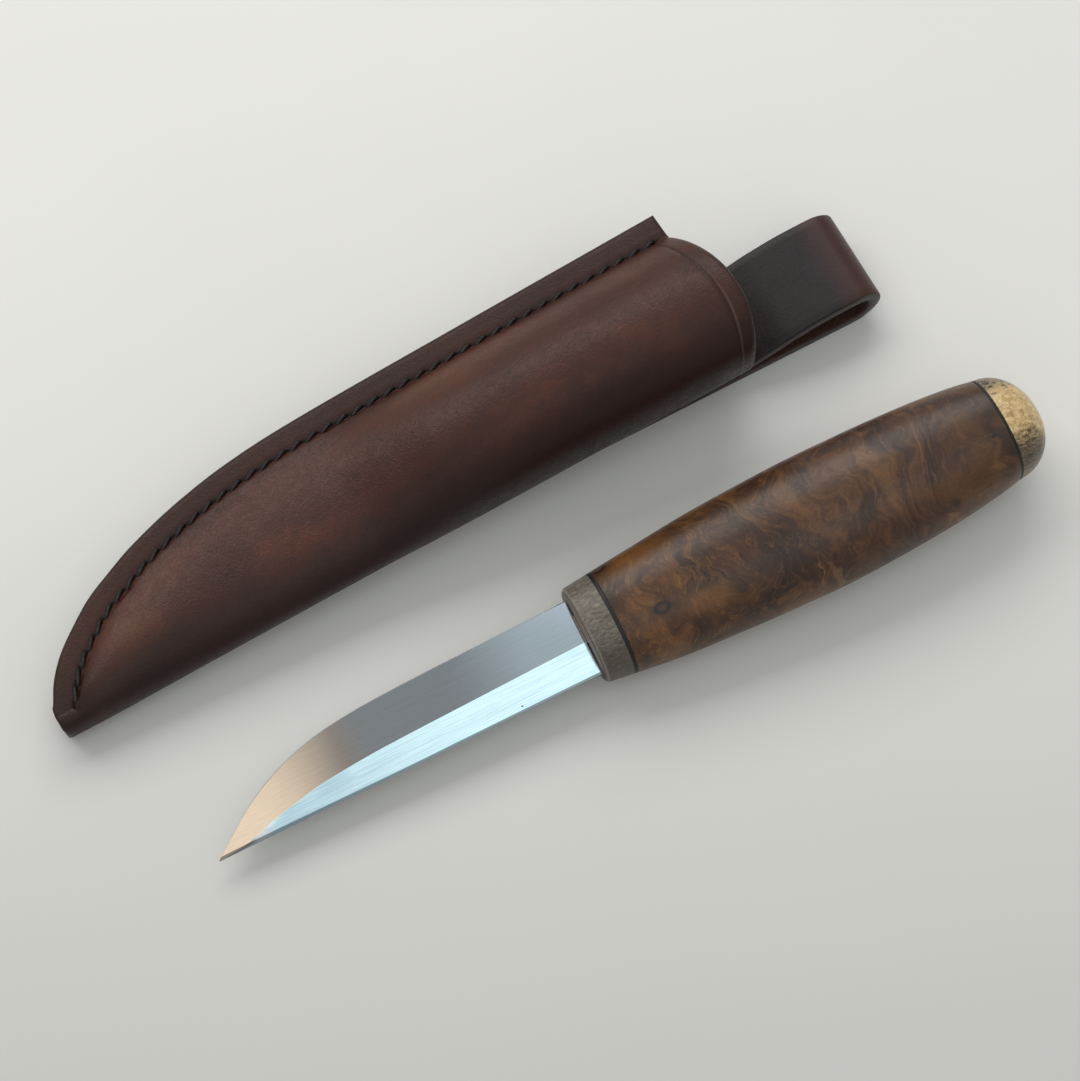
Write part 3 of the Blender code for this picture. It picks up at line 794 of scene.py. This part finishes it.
class Finish(Nodes):
    """A material. Its colour is built up in layers, from a base and the stains over it."""

    def __init__(self, name, roughness, stored=True, **constants):
        self.material = bpy.data.materials.new(name)
        self.material.use_nodes = True
        super().__init__(self.material.node_tree)
        self.shader = self.tree.nodes["Principled BSDF"]
        self.fill(self.shader, Roughness=roughness, **constants)
        if stored:
            self.place = self.node("ShaderNodeAttribute", attribute_name="place").outputs["Vector"]
        else:
            coordinate = self.node("ShaderNodeTexCoord")
            self.place = self.scaled(coordinate.outputs["Object"], 1 / MM)

    def axes(self):
        """The place's three coordinates, in millimetres."""
        made = self.node("ShaderNodeSeparateXYZ")
        self.feed(made.inputs[0], self.place)
        return made.outputs

    def fact(self, name):
        """A value in millimetres that the mesh carries at each point."""
        return self.node("ShaderNodeAttribute", attribute_name=name).outputs["Fac"]

    def spot(self, centre, radii, wobble=0.0):
        """Distance from a centre in units of the radii: 0 at the centre, 1 on the spot's rim."""
        made = self.node("ShaderNodeVectorMath", operation="SUBTRACT")
        self.feed(made.inputs[0], self.place)
        self.feed(made.inputs[1], centre)
        scale = self.node("ShaderNodeVectorMath", operation="DIVIDE")
        self.feed(scale.inputs[0], made.outputs[0])
        self.feed(scale.inputs[1], radii)
        length = self.node("ShaderNodeVectorMath", operation="LENGTH")
        self.feed(length.inputs[0], scale.outputs[0])
        return self.sum(length.outputs["Value"], wobble)

    def bump(self, height, distance, strength):
        """Relief: distance is the height of 1, in millimetres."""
        made = self.node("ShaderNodeBump")
        self.fill(made, Height=height, Distance=distance * MM, Strength=strength)
        return made.outputs["Normal"]

    def base(self, value, *stops):
        self.colour = self.ramp(value, *stops)

    def cover(self, share, *shade):
        """Lay an 8-bit colour over the finish so far."""
        self.colour = self.mix(share, self.colour, rgb(*shade))

    def stain(self, shade, value, *step):
        """Lay a colour over the finish so far, where the step of value's range says."""
        self.cover(self.range(value, *step), *shade)

    def done(self, roughness=None, normal=None):
        self.fill(self.shader, Base_Color=self.colour, Roughness=roughness, Normal=normal)
        return self.material


# ---------------------------------------------------------------- leather and thread

def leather_grain(finish, pebble, strength):
    """Pebbled grain with fine creases between the pebbles, and pores."""
    wobble = finish.noise(finish.place, 0.5, 2.0, colour=True)
    moved = finish.moved(finish.place, wobble, 1.2)
    pebbles = finish.cells(moved, pebble, "SMOOTH_F1")
    fine = finish.noise(moved, 3.2, 4.0, 0.6)
    height = finish.sum(finish.times(pebbles, 0.6), finish.times(fine, 0.4))
    return height, finish.bump(height, 0.16, strength)


def tool_marks(finish, seam):
    """Painted shade in the crease by the mouth and in the stitch holes, a dark rim by the mouth, and a
    painted highlight beside the crease on the fold's side.
    """
    rim, mouth, run, fold = (finish.fact(name) for name in ("rim", "mouth", "run", "fold"))
    # The dark line in the crease by the mouth is painted shade in the groove.
    crease_shade = finish.range(finish.off(mouth, CREASE_FROM_RIM), 0.2, 0.75, 0.55, 0.0)
    finish.cover(finish.times(crease_shade, finish.range(seam, 0.5, 1.5)), 26, 13, 12)
    finish.stain((26, 15, 14), rim, 0.1, 0.9, 0.75, 0.0)
    # Near-black stitch holes: painted shade in the pits round the thread.
    phase = finish.sum(finish.times(run, 1 / STITCH_PITCH), 0.0, "FRACT")
    along = finish.times(finish.sum(0.5, finish.off(phase, 0.5), "SUBTRACT"), STITCH_PITCH)
    hole = finish.sum(finish.times(along, along), finish.times(seam, seam))
    before_first = finish.range(run, 0.45 * STITCH_PITCH, 0.5 * STITCH_PITCH, 4.0, 0.0)
    finish.stain((12, 8, 8), finish.sum(hole, before_first), 0.3, 1.7, 0.95, 0.0)
    # A pale line on the crease's rim side, over the fold's half: painted highlight on the crease's wall.
    crease_highlight = finish.range(finish.off(mouth, CREASE_FROM_RIM - 0.7), 0.05, 0.25, 0.3, 0.0)
    finish.cover(finish.times(crease_highlight, finish.range(fold, 22.0, 8.0)), 122, 96, 86)


def make_hide():
    """Waxed chestnut leather: a warm, lighter band inside the stitches as painted highlight, dark by the
    fold (partly its own tone, partly painted shade), the seam and the mouth.
    """
    finish = Finish("hide_chestnut", 0.45, Specular_IOR_Level=0.28)
    seam = finish.fact("seam")
    clouds = finish.noise(finish.scaled(finish.place, (0.6, 1.0, 1.0)), 0.055, 4.0, 0.55, 0.6)
    mottle = finish.noise(finish.place, 0.35, 5.0, 0.65, 0.8)
    fine = finish.noise(finish.place, 1.6, 4.0, 0.7)
    tone = finish.sum(finish.times(clouds, 0.62), finish.times(mottle, 0.38))
    finish.base(tone, (0.32, 51, 26, 20), (0.5, 66, 34, 25), (0.66, 84, 44, 30))
    # A warm, lighter band over the rise of the body inside the stitches: painted highlight.
    lit_band = finish.times(finish.range(seam, 1.2, 5.0), finish.range(seam, 6.0, 15.0, 1.0, 0.0))
    lit_band = finish.times(lit_band, finish.range(clouds, 0.35, 0.6, 0.45, 1.0))
    finish.cover(finish.times(lit_band, 0.5), 100, 60, 42)
    # Darker towards the fold: partly the leather's own tone, partly painted shade on the side turned away
    # from the light.
    finish.stain((30, 16, 15), finish.fact("fold"), 2.0, 14.0, 0.82, 0.0)
    finish.stain((48, 27, 23), seam, -0.6, 1.6, 0.62, 0.0)
    finish.stain((50, 28, 24), finish.axes()[0], 138.0, 158.0, 0.0, 0.5)
    finish.stain((28, 14, 12), fine, 0.5, 0.75, 0.0, 0.25)
    tool_marks(finish, seam)
    height, normal = leather_grain(finish, 2.3, 0.6)
    roughness = finish.range(height, 0.25, 0.6, 0.54, 0.38)
    roughness = finish.sum(roughness, finish.range(mottle, 0.3, 0.7, 0.06, -0.05))
    polished = finish.range(seam, -0.5, 2.5, 0.25, 1.0)
    return finish.done(finish.sum(roughness, finish.times(polished, -0.04)), normal)


def make_strap_hide():
    """The strap: near black, worn brown round its fold."""
    finish = Finish("hide_strap", 0.42, Specular_IOR_Level=0.34)
    mottle = finish.noise(finish.place, 0.3, 5.0, 0.65, 0.6)
    finish.base(mottle, (0.3, 24, 17, 19), (0.7, 38, 27, 30))
    finish.stain((72, 44, 38), finish.axes()[0], 183.0, 191.0, 0.0, 0.7)
    height, normal = leather_grain(finish, 1.6, 0.22)
    return finish.done(finish.range(height, 0.25, 0.6, 0.46, 0.38), normal)


def make_flesh():
    """The suede-like inner side of the hide."""
    finish = Finish("hide_flesh", 0.85, Specular_IOR_Level=0.2, Sheen_Weight=0.25, Sheen_Roughness=0.5)
    fibres = finish.noise(finish.scaled(finish.place, (0.5, 1.6, 1.6)), 1.6, 5.0, 0.7, 1.2)
    finish.base(fibres, (0.3, 40, 22, 18), (0.55, 66, 38, 30), (0.75, 94, 60, 48))
    return finish.done(normal=finish.bump(fibres, 0.35, 0.6))


def make_cut_edge():
    """Burnished cut edges: dark, rubbed smooth, with faint fibres along them."""
    finish = Finish("hide_cut_edge", 0.42, Specular_IOR_Level=0.45)
    fibres = finish.noise(finish.scaled(finish.place, (0.4, 0.4, 2.5)), 1.2, 4.0, 0.6)
    finish.base(fibres, (0.3, 30, 19, 18), (0.7, 62, 44, 40))
    return finish.done(finish.range(fibres, 0.3, 0.7, 0.36, 0.55), finish.bump(fibres, 0.1, 0.5))


def make_thread():
    """Black waxed thread, with its twist as slanting bands."""
    finish = Finish("waxed_thread", 0.42, stored=False, Specular_IOR_Level=0.5)
    bands = finish.node("ShaderNodeTexWave", wave_type="BANDS", bands_direction="DIAGONAL")
    finish.fill(bands, Vector=finish.place, Scale=1.1, Distortion=1.5, Detail=2.0, Detail_Scale=2.0)
    twist = bands.outputs["Fac"]
    finish.base(twist, (0.2, 8, 6, 6), (0.8, 20, 15, 15))
    return finish.done(finish.range(twist, 0.2, 0.8, 0.55, 0.36), finish.bump(twist, 0.12, 0.7))


# ---------------------------------------------------------------- steel, wood and antler

def make_steel():
    """Carbon steel: polished flats, bevels with the stone's lengthwise lines, and a honed edge."""
    finish = Finish("blade_steel", 0.05, Metallic=1.0)
    x, y, _ = finish.axes()
    above_bevel = finish.fact("shoulder")
    bevel = finish.range(above_bevel, -0.12, 0.0, 1.0, 0.0)
    lines = finish.noise(finish.scaled(finish.place, (0.035, 3.0, 3.0)), 2.2, 4.0, 0.7)
    strokes = finish.noise(finish.scaled(finish.place, (0.09, 1.0, 1.0)), 1.1, 4.0, 0.6)
    smudge = finish.noise(finish.place, 0.05, 3.0, 0.5, 0.4)
    flat = finish.ramp(lines, (0.3, 209, 213, 216), (0.7, 223, 226, 229))
    ground = finish.ramp(lines, (0.34, 198, 204, 208), (0.62, 230, 233, 236))
    finish.colour = finish.mix(bevel, flat, ground)
    finish.cover(finish.times(finish.range(strokes, 0.5, 0.66, 0.0, 0.3), bevel), 176, 190, 196)
    # A near-white line along the bevel's shoulder: painted highlight.
    finish.stain((246, 248, 250), finish.off(above_bevel, 0.0), 0.05, 0.16, 0.35, 0.0)
    finish.stain((188, 190, 192), smudge, 0.35, 0.65, 0.0, 0.15)
    # The darker strip along the honed edge: painted dark reflection.
    honed = finish.range(x, 8.0, 45.0, 0.75, 0.5)
    finish.stain((104, 110, 115), finish.sum(y, honed, "SUBTRACT"), -0.06, 0.06, 0.85, 0.0)
    speck = finish.spot((69.0, 1.2, 1.0), (0.3, 0.2, 3.0), finish.times(strokes, 0.5))
    finish.stain((40, 36, 34), speck, 0.8, 1.3, 0.9, 0.0)
    roughness = finish.range(lines, 0.3, 0.7, 0.03, 0.055)
    roughness = finish.sum(roughness, finish.range(smudge, 0.3, 0.7, 0.0, 0.02))
    return finish.done(finish.sum(roughness, finish.times(bevel, 0.06)), finish.bump(lines, 0.001, 0.25))


def burl_figure(finish, bent, eddies, figure):
    """Base colours of the burl, from the broad figure down to curls and pale cross veins."""
    x, y, _ = finish.axes()
    finish.base(figure, (0.3, 37, 21, 14), (0.44, 59, 35, 22), (0.56, 80, 50, 30), (0.7, 112, 73, 40))
    detail = finish.noise(finish.scaled(bent, (1.0, 0.3, 0.4)), 0.42, 4.0, 0.65, 0.8)
    finish.stain((126, 84, 46), detail, 0.52, 0.7, 0.0, 0.55)
    finish.stain((38, 22, 15), detail, 0.32, 0.46, 0.55, 0.0)
    patches = finish.noise(finish.scaled(finish.place, (0.8, 1.2, 0.6)), 0.06, 3.0, 0.5, 0.8)
    finish.stain((124, 82, 38), patches, 0.5, 0.66, 0.0, 0.45)
    finish.stain((40, 24, 18), patches, 0.34, 0.46, 0.6, 0.0)
    curl = finish.noise(finish.scaled(bent, (1.0, 0.22, 0.3)), 0.24, 3.0, 0.5, 0.6)
    upper = finish.range(finish.sum(x, finish.times(y, 1.5)), 130.0, 175.0, 0.15, 0.6)
    finish.cover(finish.times(finish.range(curl, 0.48, 0.68), upper), 134, 92, 54)
    streaming = finish.scaled(finish.moved(finish.place, eddies, 7.0), (1.0, 0.14, 0.3))
    ridge = finish.off(finish.noise(streaming, 0.07, 2.0, 0.5), 0.5)
    in_patches = finish.range(finish.noise(finish.place, 0.09, 3.0, 0.5), 0.4, 0.6)
    where = finish.times(finish.range(x, 118.0, 140.0), in_patches)
    finish.cover(finish.times(finish.range(ridge, 0.002, 0.012, 0.38, 0.0), where), 170, 126, 84)


def burl_marks(finish, figure, grain):
    """Gold patches at the front, two dark eyes, a pit by the rear spacer, a darker rear end, and the wood
    from x 118 back a little darker, partly its tone and partly painted shade that leaves the front
    lighter as painted sheen.
    """
    golds = (((103.0, 17.5, 7.0), (11.0, 5.0, 8.0), 0.45), ((112.0, 2.0, 9.0), (7.0, 3.0, 8.0), 0.42))
    eyes = (((103.0, 4.5, 8.0), (2.0, 1.35, 6.0)), ((95.4, 19.2, 5.0), (1.9, 1.3, 6.0)))
    ragged = finish.times(figure, 0.9)
    for centre, radii, share in golds:
        finish.stain((132, 86, 37), finish.spot(centre, radii, ragged), 0.7, 1.6, share, 0.0)
    ragged = finish.times(finish.sum(grain, 0.5, "SUBTRACT"), 0.9)
    for centre, radii in eyes:
        eye = finish.spot(centre, radii, ragged)
        finish.stain((66, 40, 24), eye, 0.95, 2.2, 0.55, 0.0)
        finish.stain((28, 17, 12), eye, 0.8, 1.15, 0.9, 0.0)
        finish.stain((76, 47, 28), eye, 0.4, 0.7, 0.7, 0.0)
    finish.stain((18, 12, 10), finish.spot((181.0, 6.0, 8.5), (0.7, 0.4, 5.0)), 0.8, 1.1, 0.95, 0.0)
    x = finish.axes()[0]
    finish.stain((52, 33, 24), x, 172.0, 184.0, 0.0, 0.3)
    # Darker from x 118 back: partly the wood's tone, partly painted shade so that the front keeps a
    # painted sheen.
    finish.stain((40, 25, 21), x, 118.0, 150.0, 0.0, 0.24)


def make_burl():
    """Oiled burl: swirling brown figure, golden patches, pale cross veins and small dark eyes."""
    finish = Finish("burl_wood", 0.38, Specular_IOR_Level=0.4, Coat_Weight=0.1, Coat_Roughness=0.25)
    swirl = finish.noise(finish.place, 0.05, 2.0, 0.5, 0.4, colour=True)
    eddies = finish.noise(finish.place, 0.16, 3.0, 0.55, colour=True)
    bent = finish.moved(finish.moved(finish.place, swirl, 30.0), eddies, 7.0)
    figure = finish.noise(finish.scaled(bent, (1.0, 0.45, 0.6)), 0.085, 5.0, 0.6, 0.7)
    burl_figure(finish, bent, eddies, figure)
    grain = finish.noise(finish.scaled(bent, (0.4, 2.0, 2.0)), 0.9, 5.0, 0.72)
    finish.stain((42, 26, 17), grain, 0.42, 0.7, 0.0, 0.4)
    pores = finish.cells(finish.scaled(bent, (0.6, 1.3, 1.3)), 1.3)
    finish.stain((38, 24, 16), pores, 0.05, 0.2, 0.4, 0.0)
    flecks = finish.noise(finish.scaled(bent, (1.0, 0.3, 0.4)), 0.8, 6.0, 0.75, 0.5)
    golden = finish.range(finish.axes()[0], 100.0, 150.0, 0.5, 0.26)
    finish.cover(finish.times(finish.range(flecks, 0.5, 0.72), golden), 152, 107, 56)
    finish.stain((34, 21, 15), flecks, 0.3, 0.48, 0.45, 0.0)
    burl_marks(finish, figure, grain)
    roughness = finish.range(grain, 0.35, 0.7, 0.32, 0.44)
    roughness = finish.sum(roughness, finish.range(figure, 0.3, 0.7, 0.04, -0.03))
    height = finish.sum(finish.times(grain, 0.5), finish.range(pores, 0.05, 0.2, 0.0, 0.5))
    return finish.done(roughness, finish.bump(height, 0.04, 0.45))


def make_bolster_antler():
    """Grey-brown outer antler with a streaked, spongy grain, painted shade on its front face, and a pale
    line round its front.
    """
    finish = Finish("antler_bolster", 0.4, Specular_IOR_Level=0.45)
    x, y, _ = finish.axes()
    bent = finish.moved(finish.place, finish.noise(finish.place, 0.35, 3.0, 0.5, colour=True), 1.6)
    streaks = finish.noise(finish.scaled(bent, (0.5, 1.5, 1.0)), 1.5, 5.0, 0.7, 0.8)
    finish.base(streaks, (0.3, 58, 53, 48), (0.5, 104, 97, 87), (0.72, 146, 137, 122))
    finish.stain((62, 54, 46), y, -2.0, 7.5, 0.55, 0.0)
    pores = finish.cells(finish.scaled(bent, (0.6, 1.4, 1.4)), 2.1)
    finish.stain((44, 38, 32), pores, 0.08, 0.24, 0.6, 0.0)
    # The front face darkened: painted shade.
    finish.stain((74, 66, 57), x, 87.05, 87.2, 0.7, 0.0)
    finish.stain((156, 148, 134), finish.off(x, 87.42), 0.12, 0.3, 0.45, 0.0)
    return finish.done(finish.range(streaks, 0.3, 0.7, 0.34, 0.48), finish.bump(streaks, 0.06, 0.5))


def make_cap_antler():
    """The antler's end: creamy crown, grey-brown sides, and dark open pores near the spacer."""
    finish = Finish("antler_cap", 0.36, Specular_IOR_Level=0.5, Coat_Weight=0.15, Coat_Roughness=0.25)
    bent = finish.moved(finish.place, finish.noise(finish.place, 0.3, 3.0, 0.5, colour=True), 2.0)
    streaks = finish.noise(finish.scaled(bent, (0.7, 1.4, 1.2)), 0.9, 5.0, 0.65, 0.8)
    finish.base(streaks, (0.32, 152, 124, 80), (0.5, 204, 173, 120), (0.66, 228, 204, 156))
    ragged = finish.times(finish.sum(streaks, 0.5, "SUBTRACT"), 1.6)
    crown = finish.spot((190.5, 8.9, 8.0), (15.0, 7.4, 14.0), ragged)
    finish.stain((104, 93, 77), crown, 0.75, 1.2, 0.0, 0.85)
    low = finish.range(finish.spot((187.4, 1.6, 6.0), (6.5, 3.6, 9.0), ragged), 0.6, 1.3, 0.9, 0.0)
    bands = finish.noise(finish.scaled(bent, (0.5, 2.2, 1.5)), 1.3, 4.0, 0.6)
    finish.cover(finish.times(low, finish.range(bands, 0.4, 0.6, 0.35, 1.0)), 44, 34, 26)
    pores = finish.cells(finish.scaled(bent, (0.8, 1.3, 1.3)), 0.8)
    high = finish.range(finish.spot((186.4, 17.6, 5.0), (4.8, 4.4, 9.0)), 0.6, 1.3, 0.95, 0.0)
    pitted = finish.times(finish.range(pores, 0.24, 0.46, 1.0, 0.0), high)
    finish.cover(pitted, 26, 20, 16)
    finish.stain((96, 78, 54), pores, 0.05, 0.16, 0.4, 0.0)
    height = finish.sum(streaks, finish.times(pitted, -1.5))
    return finish.done(finish.range(streaks, 0.3, 0.7, 0.3, 0.46), finish.bump(height, 0.06, 0.5))


def make_fibre():
    """Vulcanised black fibre sheet."""
    finish = Finish("black_fibre", 0.5, Specular_IOR_Level=0.4)
    specks = finish.noise(finish.place, 3.0, 4.0, 0.6)
    finish.base(specks, (0.3, 12, 12, 14), (0.7, 30, 29, 30))
    return finish.done(finish.range(specks, 0.3, 0.7, 0.42, 0.6), finish.bump(specks, 0.03, 0.5))


def make_epoxy():
    """Amber epoxy round the tang."""
    finish = Finish("cured_epoxy", 0.35, stored=False)
    cloud = finish.noise(finish.place, 0.4, 4.0, 0.6)
    finish.base(cloud, (0.3, 120, 100, 66), (0.7, 150, 128, 88))
    return finish.done(finish.range(cloud, 0.3, 0.7, 0.3, 0.45), finish.bump(cloud, 0.1, 0.4))


# ---------------------------------------------------------------- stage, light and camera

def make_floor():
    """A large pale sheet to lie on, its colour painted a little darker away from the window as painted
    shade of the light's falloff.
    """
    bm = bmesh.new()
    bmesh.ops.create_circle(bm, cap_ends=True, segments=96, radius=3.0)
    mesh = bpy.data.meshes.new("floor")
    bm.to_mesh(mesh)
    bm.free()
    finish = Finish("floor_paper", 0.62, stored=False, Specular_IOR_Level=0.25)
    cloud = finish.noise(finish.place, 0.01, 3.0, 0.5)
    tooth = finish.noise(finish.place, 1.2, 4.0, 0.6)
    x, y, _ = finish.axes()
    to_window = finish.sum(finish.times(x, 0.478), finish.times(y, 0.878))
    light = finish.ramp(cloud, (0.3, 232, 231, 228), (0.7, 235, 234, 231))
    # Painted shade: the floor's colour darkens away from the window, as the light falls off.
    share = finish.range(to_window, -165.0, 60.0, 0.9, 0.0)
    finish.colour = finish.mix(share, light, rgb(209, 208, 205))
    mesh.materials.append(finish.done(normal=finish.bump(tooth, 0.02, 0.3)))
    floor = bpy.data.objects.new("floor", mesh)
    bpy.context.scene.collection.objects.link(floor)


def make_world():
    """A pale room. Over the knife are a bright panel and a blue-white strip of sky.

    To the spine's side is a grey ceiling, which turns warm beyond the point.
    """
    world = bpy.data.worlds.new("pale_room")
    bpy.context.scene.world = world
    world.use_nodes = True
    nodes = Nodes(world.node_tree)
    direction = nodes.node("ShaderNodeTexCoord").outputs["Generated"]
    by_edge = nodes.along(direction, (math.cos(KNIFE_YAW), math.sin(KNIFE_YAW), 0.0))
    by_spine = nodes.along(direction, (-math.sin(KNIFE_YAW), math.cos(KNIFE_YAW), 0.0))
    up = nodes.along(direction, (0.0, 0.0, 1.0))

    def within(value, rise, fall):
        """1 between a smooth rise and a smooth fall."""
        return nodes.times(nodes.range(value, *rise), nodes.range(value, *fall, 1.0, 0.0))

    def patch(edge, spine, height):
        """1 inside a soft-edged patch of the room, seen from the knife."""
        return nodes.times(nodes.times(within(by_edge, *edge), within(by_spine, *spine)),
                           nodes.range(up, *height))

    panel = patch(((-0.6, -0.35), (0.35, 0.6)), ((-0.7, -0.4), (0.04, 0.16)), (0.4, 0.7))
    room = nodes.mix(panel, (0.45, 0.45, 0.44, 1.0), (0.9, 0.91, 0.9, 1.0))
    strip = patch(((-0.16, -0.04), (0.2, 0.3)), ((-0.34, -0.24), (0.0, 0.08)), (0.5, 0.8))
    sky = nodes.mix(nodes.range(by_edge, -0.05, 0.03), (0.55, 0.76, 0.86, 1.0), (1.08, 1.42, 1.46, 1.0))
    room = nodes.mix(strip, room, sky)
    slanting = nodes.sum(by_edge, nodes.times(by_spine, 1.45))
    grey = nodes.mix(nodes.range(slanting, 0.455, 0.475), (0.46, 0.54, 0.57, 1.0), (0.6, 0.68, 0.77, 1.0))
    grey = nodes.mix(nodes.range(by_edge, 0.015, 0.05, 1.0, 0.0), grey, (0.27, 0.29, 0.3, 1.0))
    warm = nodes.mix(nodes.range(by_edge, -0.15, -0.03, 1.0, 0.0), (0.36, 0.31, 0.265, 1.0),
                     (1.14, 0.9, 0.65, 1.0))
    ceiling = nodes.mix(nodes.range(by_edge, -0.028, -0.02, 1.0, 0.0), grey, warm)
    above = patch(((-0.3, -0.2), (0.2, 0.32)), ((0.12, 0.2), (0.36, 0.46)), (0.5, 0.8))
    background = world.node_tree.nodes["Background"]
    nodes.fill(background, Color=nodes.mix(above, room, ceiling), Strength=1.0)


def add_window():
    """A wide soft window beyond the top of the view."""
    light = bpy.data.lights.new("window", "AREA")
    light.shape = "RECTANGLE"
    light.size = 1.3
    light.size_y = 0.5
    light.energy = 5.0
    light.color = (1.0, 0.985, 0.965)
    lamp = bpy.data.objects.new("window", light)
    lamp.location = (0.06, 0.62, 0.63)
    lamp.rotation_euler = (-lamp.location).to_track_quat("-Z", "Y").to_euler()
    bpy.context.scene.collection.objects.link(lamp)


def make_camera():
    """Looks down at seventy degrees from 0.6 m, turned so that the sheath climbs to the right."""
    turn = math.radians(-28.53)
    elevation = math.radians(70.0)
    distance = 0.6
    target = Vector((0.0018, -0.0022, 0.0))
    level = math.cos(elevation)
    back = Vector((math.sin(turn) * level, -math.cos(turn) * level, math.sin(elevation)))
    camera = bpy.data.cameras.new("camera")
    camera.sensor_width = 36.0
    camera.lens = 93.9
    camera.clip_start = 0.01
    viewer = bpy.data.objects.new("camera", camera)
    viewer.location = target + back * distance
    viewer.rotation_euler = (math.pi / 2 - elevation, 0.0, turn)
    bpy.context.scene.collection.objects.link(viewer)
    bpy.context.scene.camera = viewer


def make_materials():
    """Every finish by the name that the pieces ask for."""
    return {
        "hide": make_hide(),
        "strap": make_strap_hide(),
        "flesh": make_flesh(),
        "cut_edge": make_cut_edge(),
        "thread": make_thread(),
        "steel": make_steel(),
        "burl": make_burl(),
        "bolster_antler": make_bolster_antler(),
        "cap_antler": make_cap_antler(),
        "fibre": make_fibre(),
        "epoxy": make_epoxy(),
    }


def main():
    """Pieces first, then the stage, the light and the view."""
    sheath = Matrix.Translation(-CENTRE * MM)
    knife_place = Vector((*KNIFE_AT, knife_rest_height())) * MM
    turned = Matrix.Rotation(KNIFE_YAW, 4, "Z") @ Matrix.Rotation(-KNIFE_TILT, 4, "Y")
    knife = sheath @ Matrix.Translation(knife_place) @ turned
    materials = make_materials()
    make_blade(knife, materials["steel"])
    make_grip(knife, materials)
    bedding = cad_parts["tang_bedding"]
    bedding.data.materials.clear()
    bedding.data.materials.append(materials["epoxy"])
    make_sheath(sheath, materials)
    make_welt(sheath, materials["cut_edge"])
    make_stitches(sheath, materials["thread"])
    make_belt_loop(sheath, materials)
    make_loop_stitches(sheath, materials["thread"])

    make_floor()
    make_world()
    add_window()
    make_camera()
    bpy.context.scene.view_settings.view_transform = "Standard"


main()
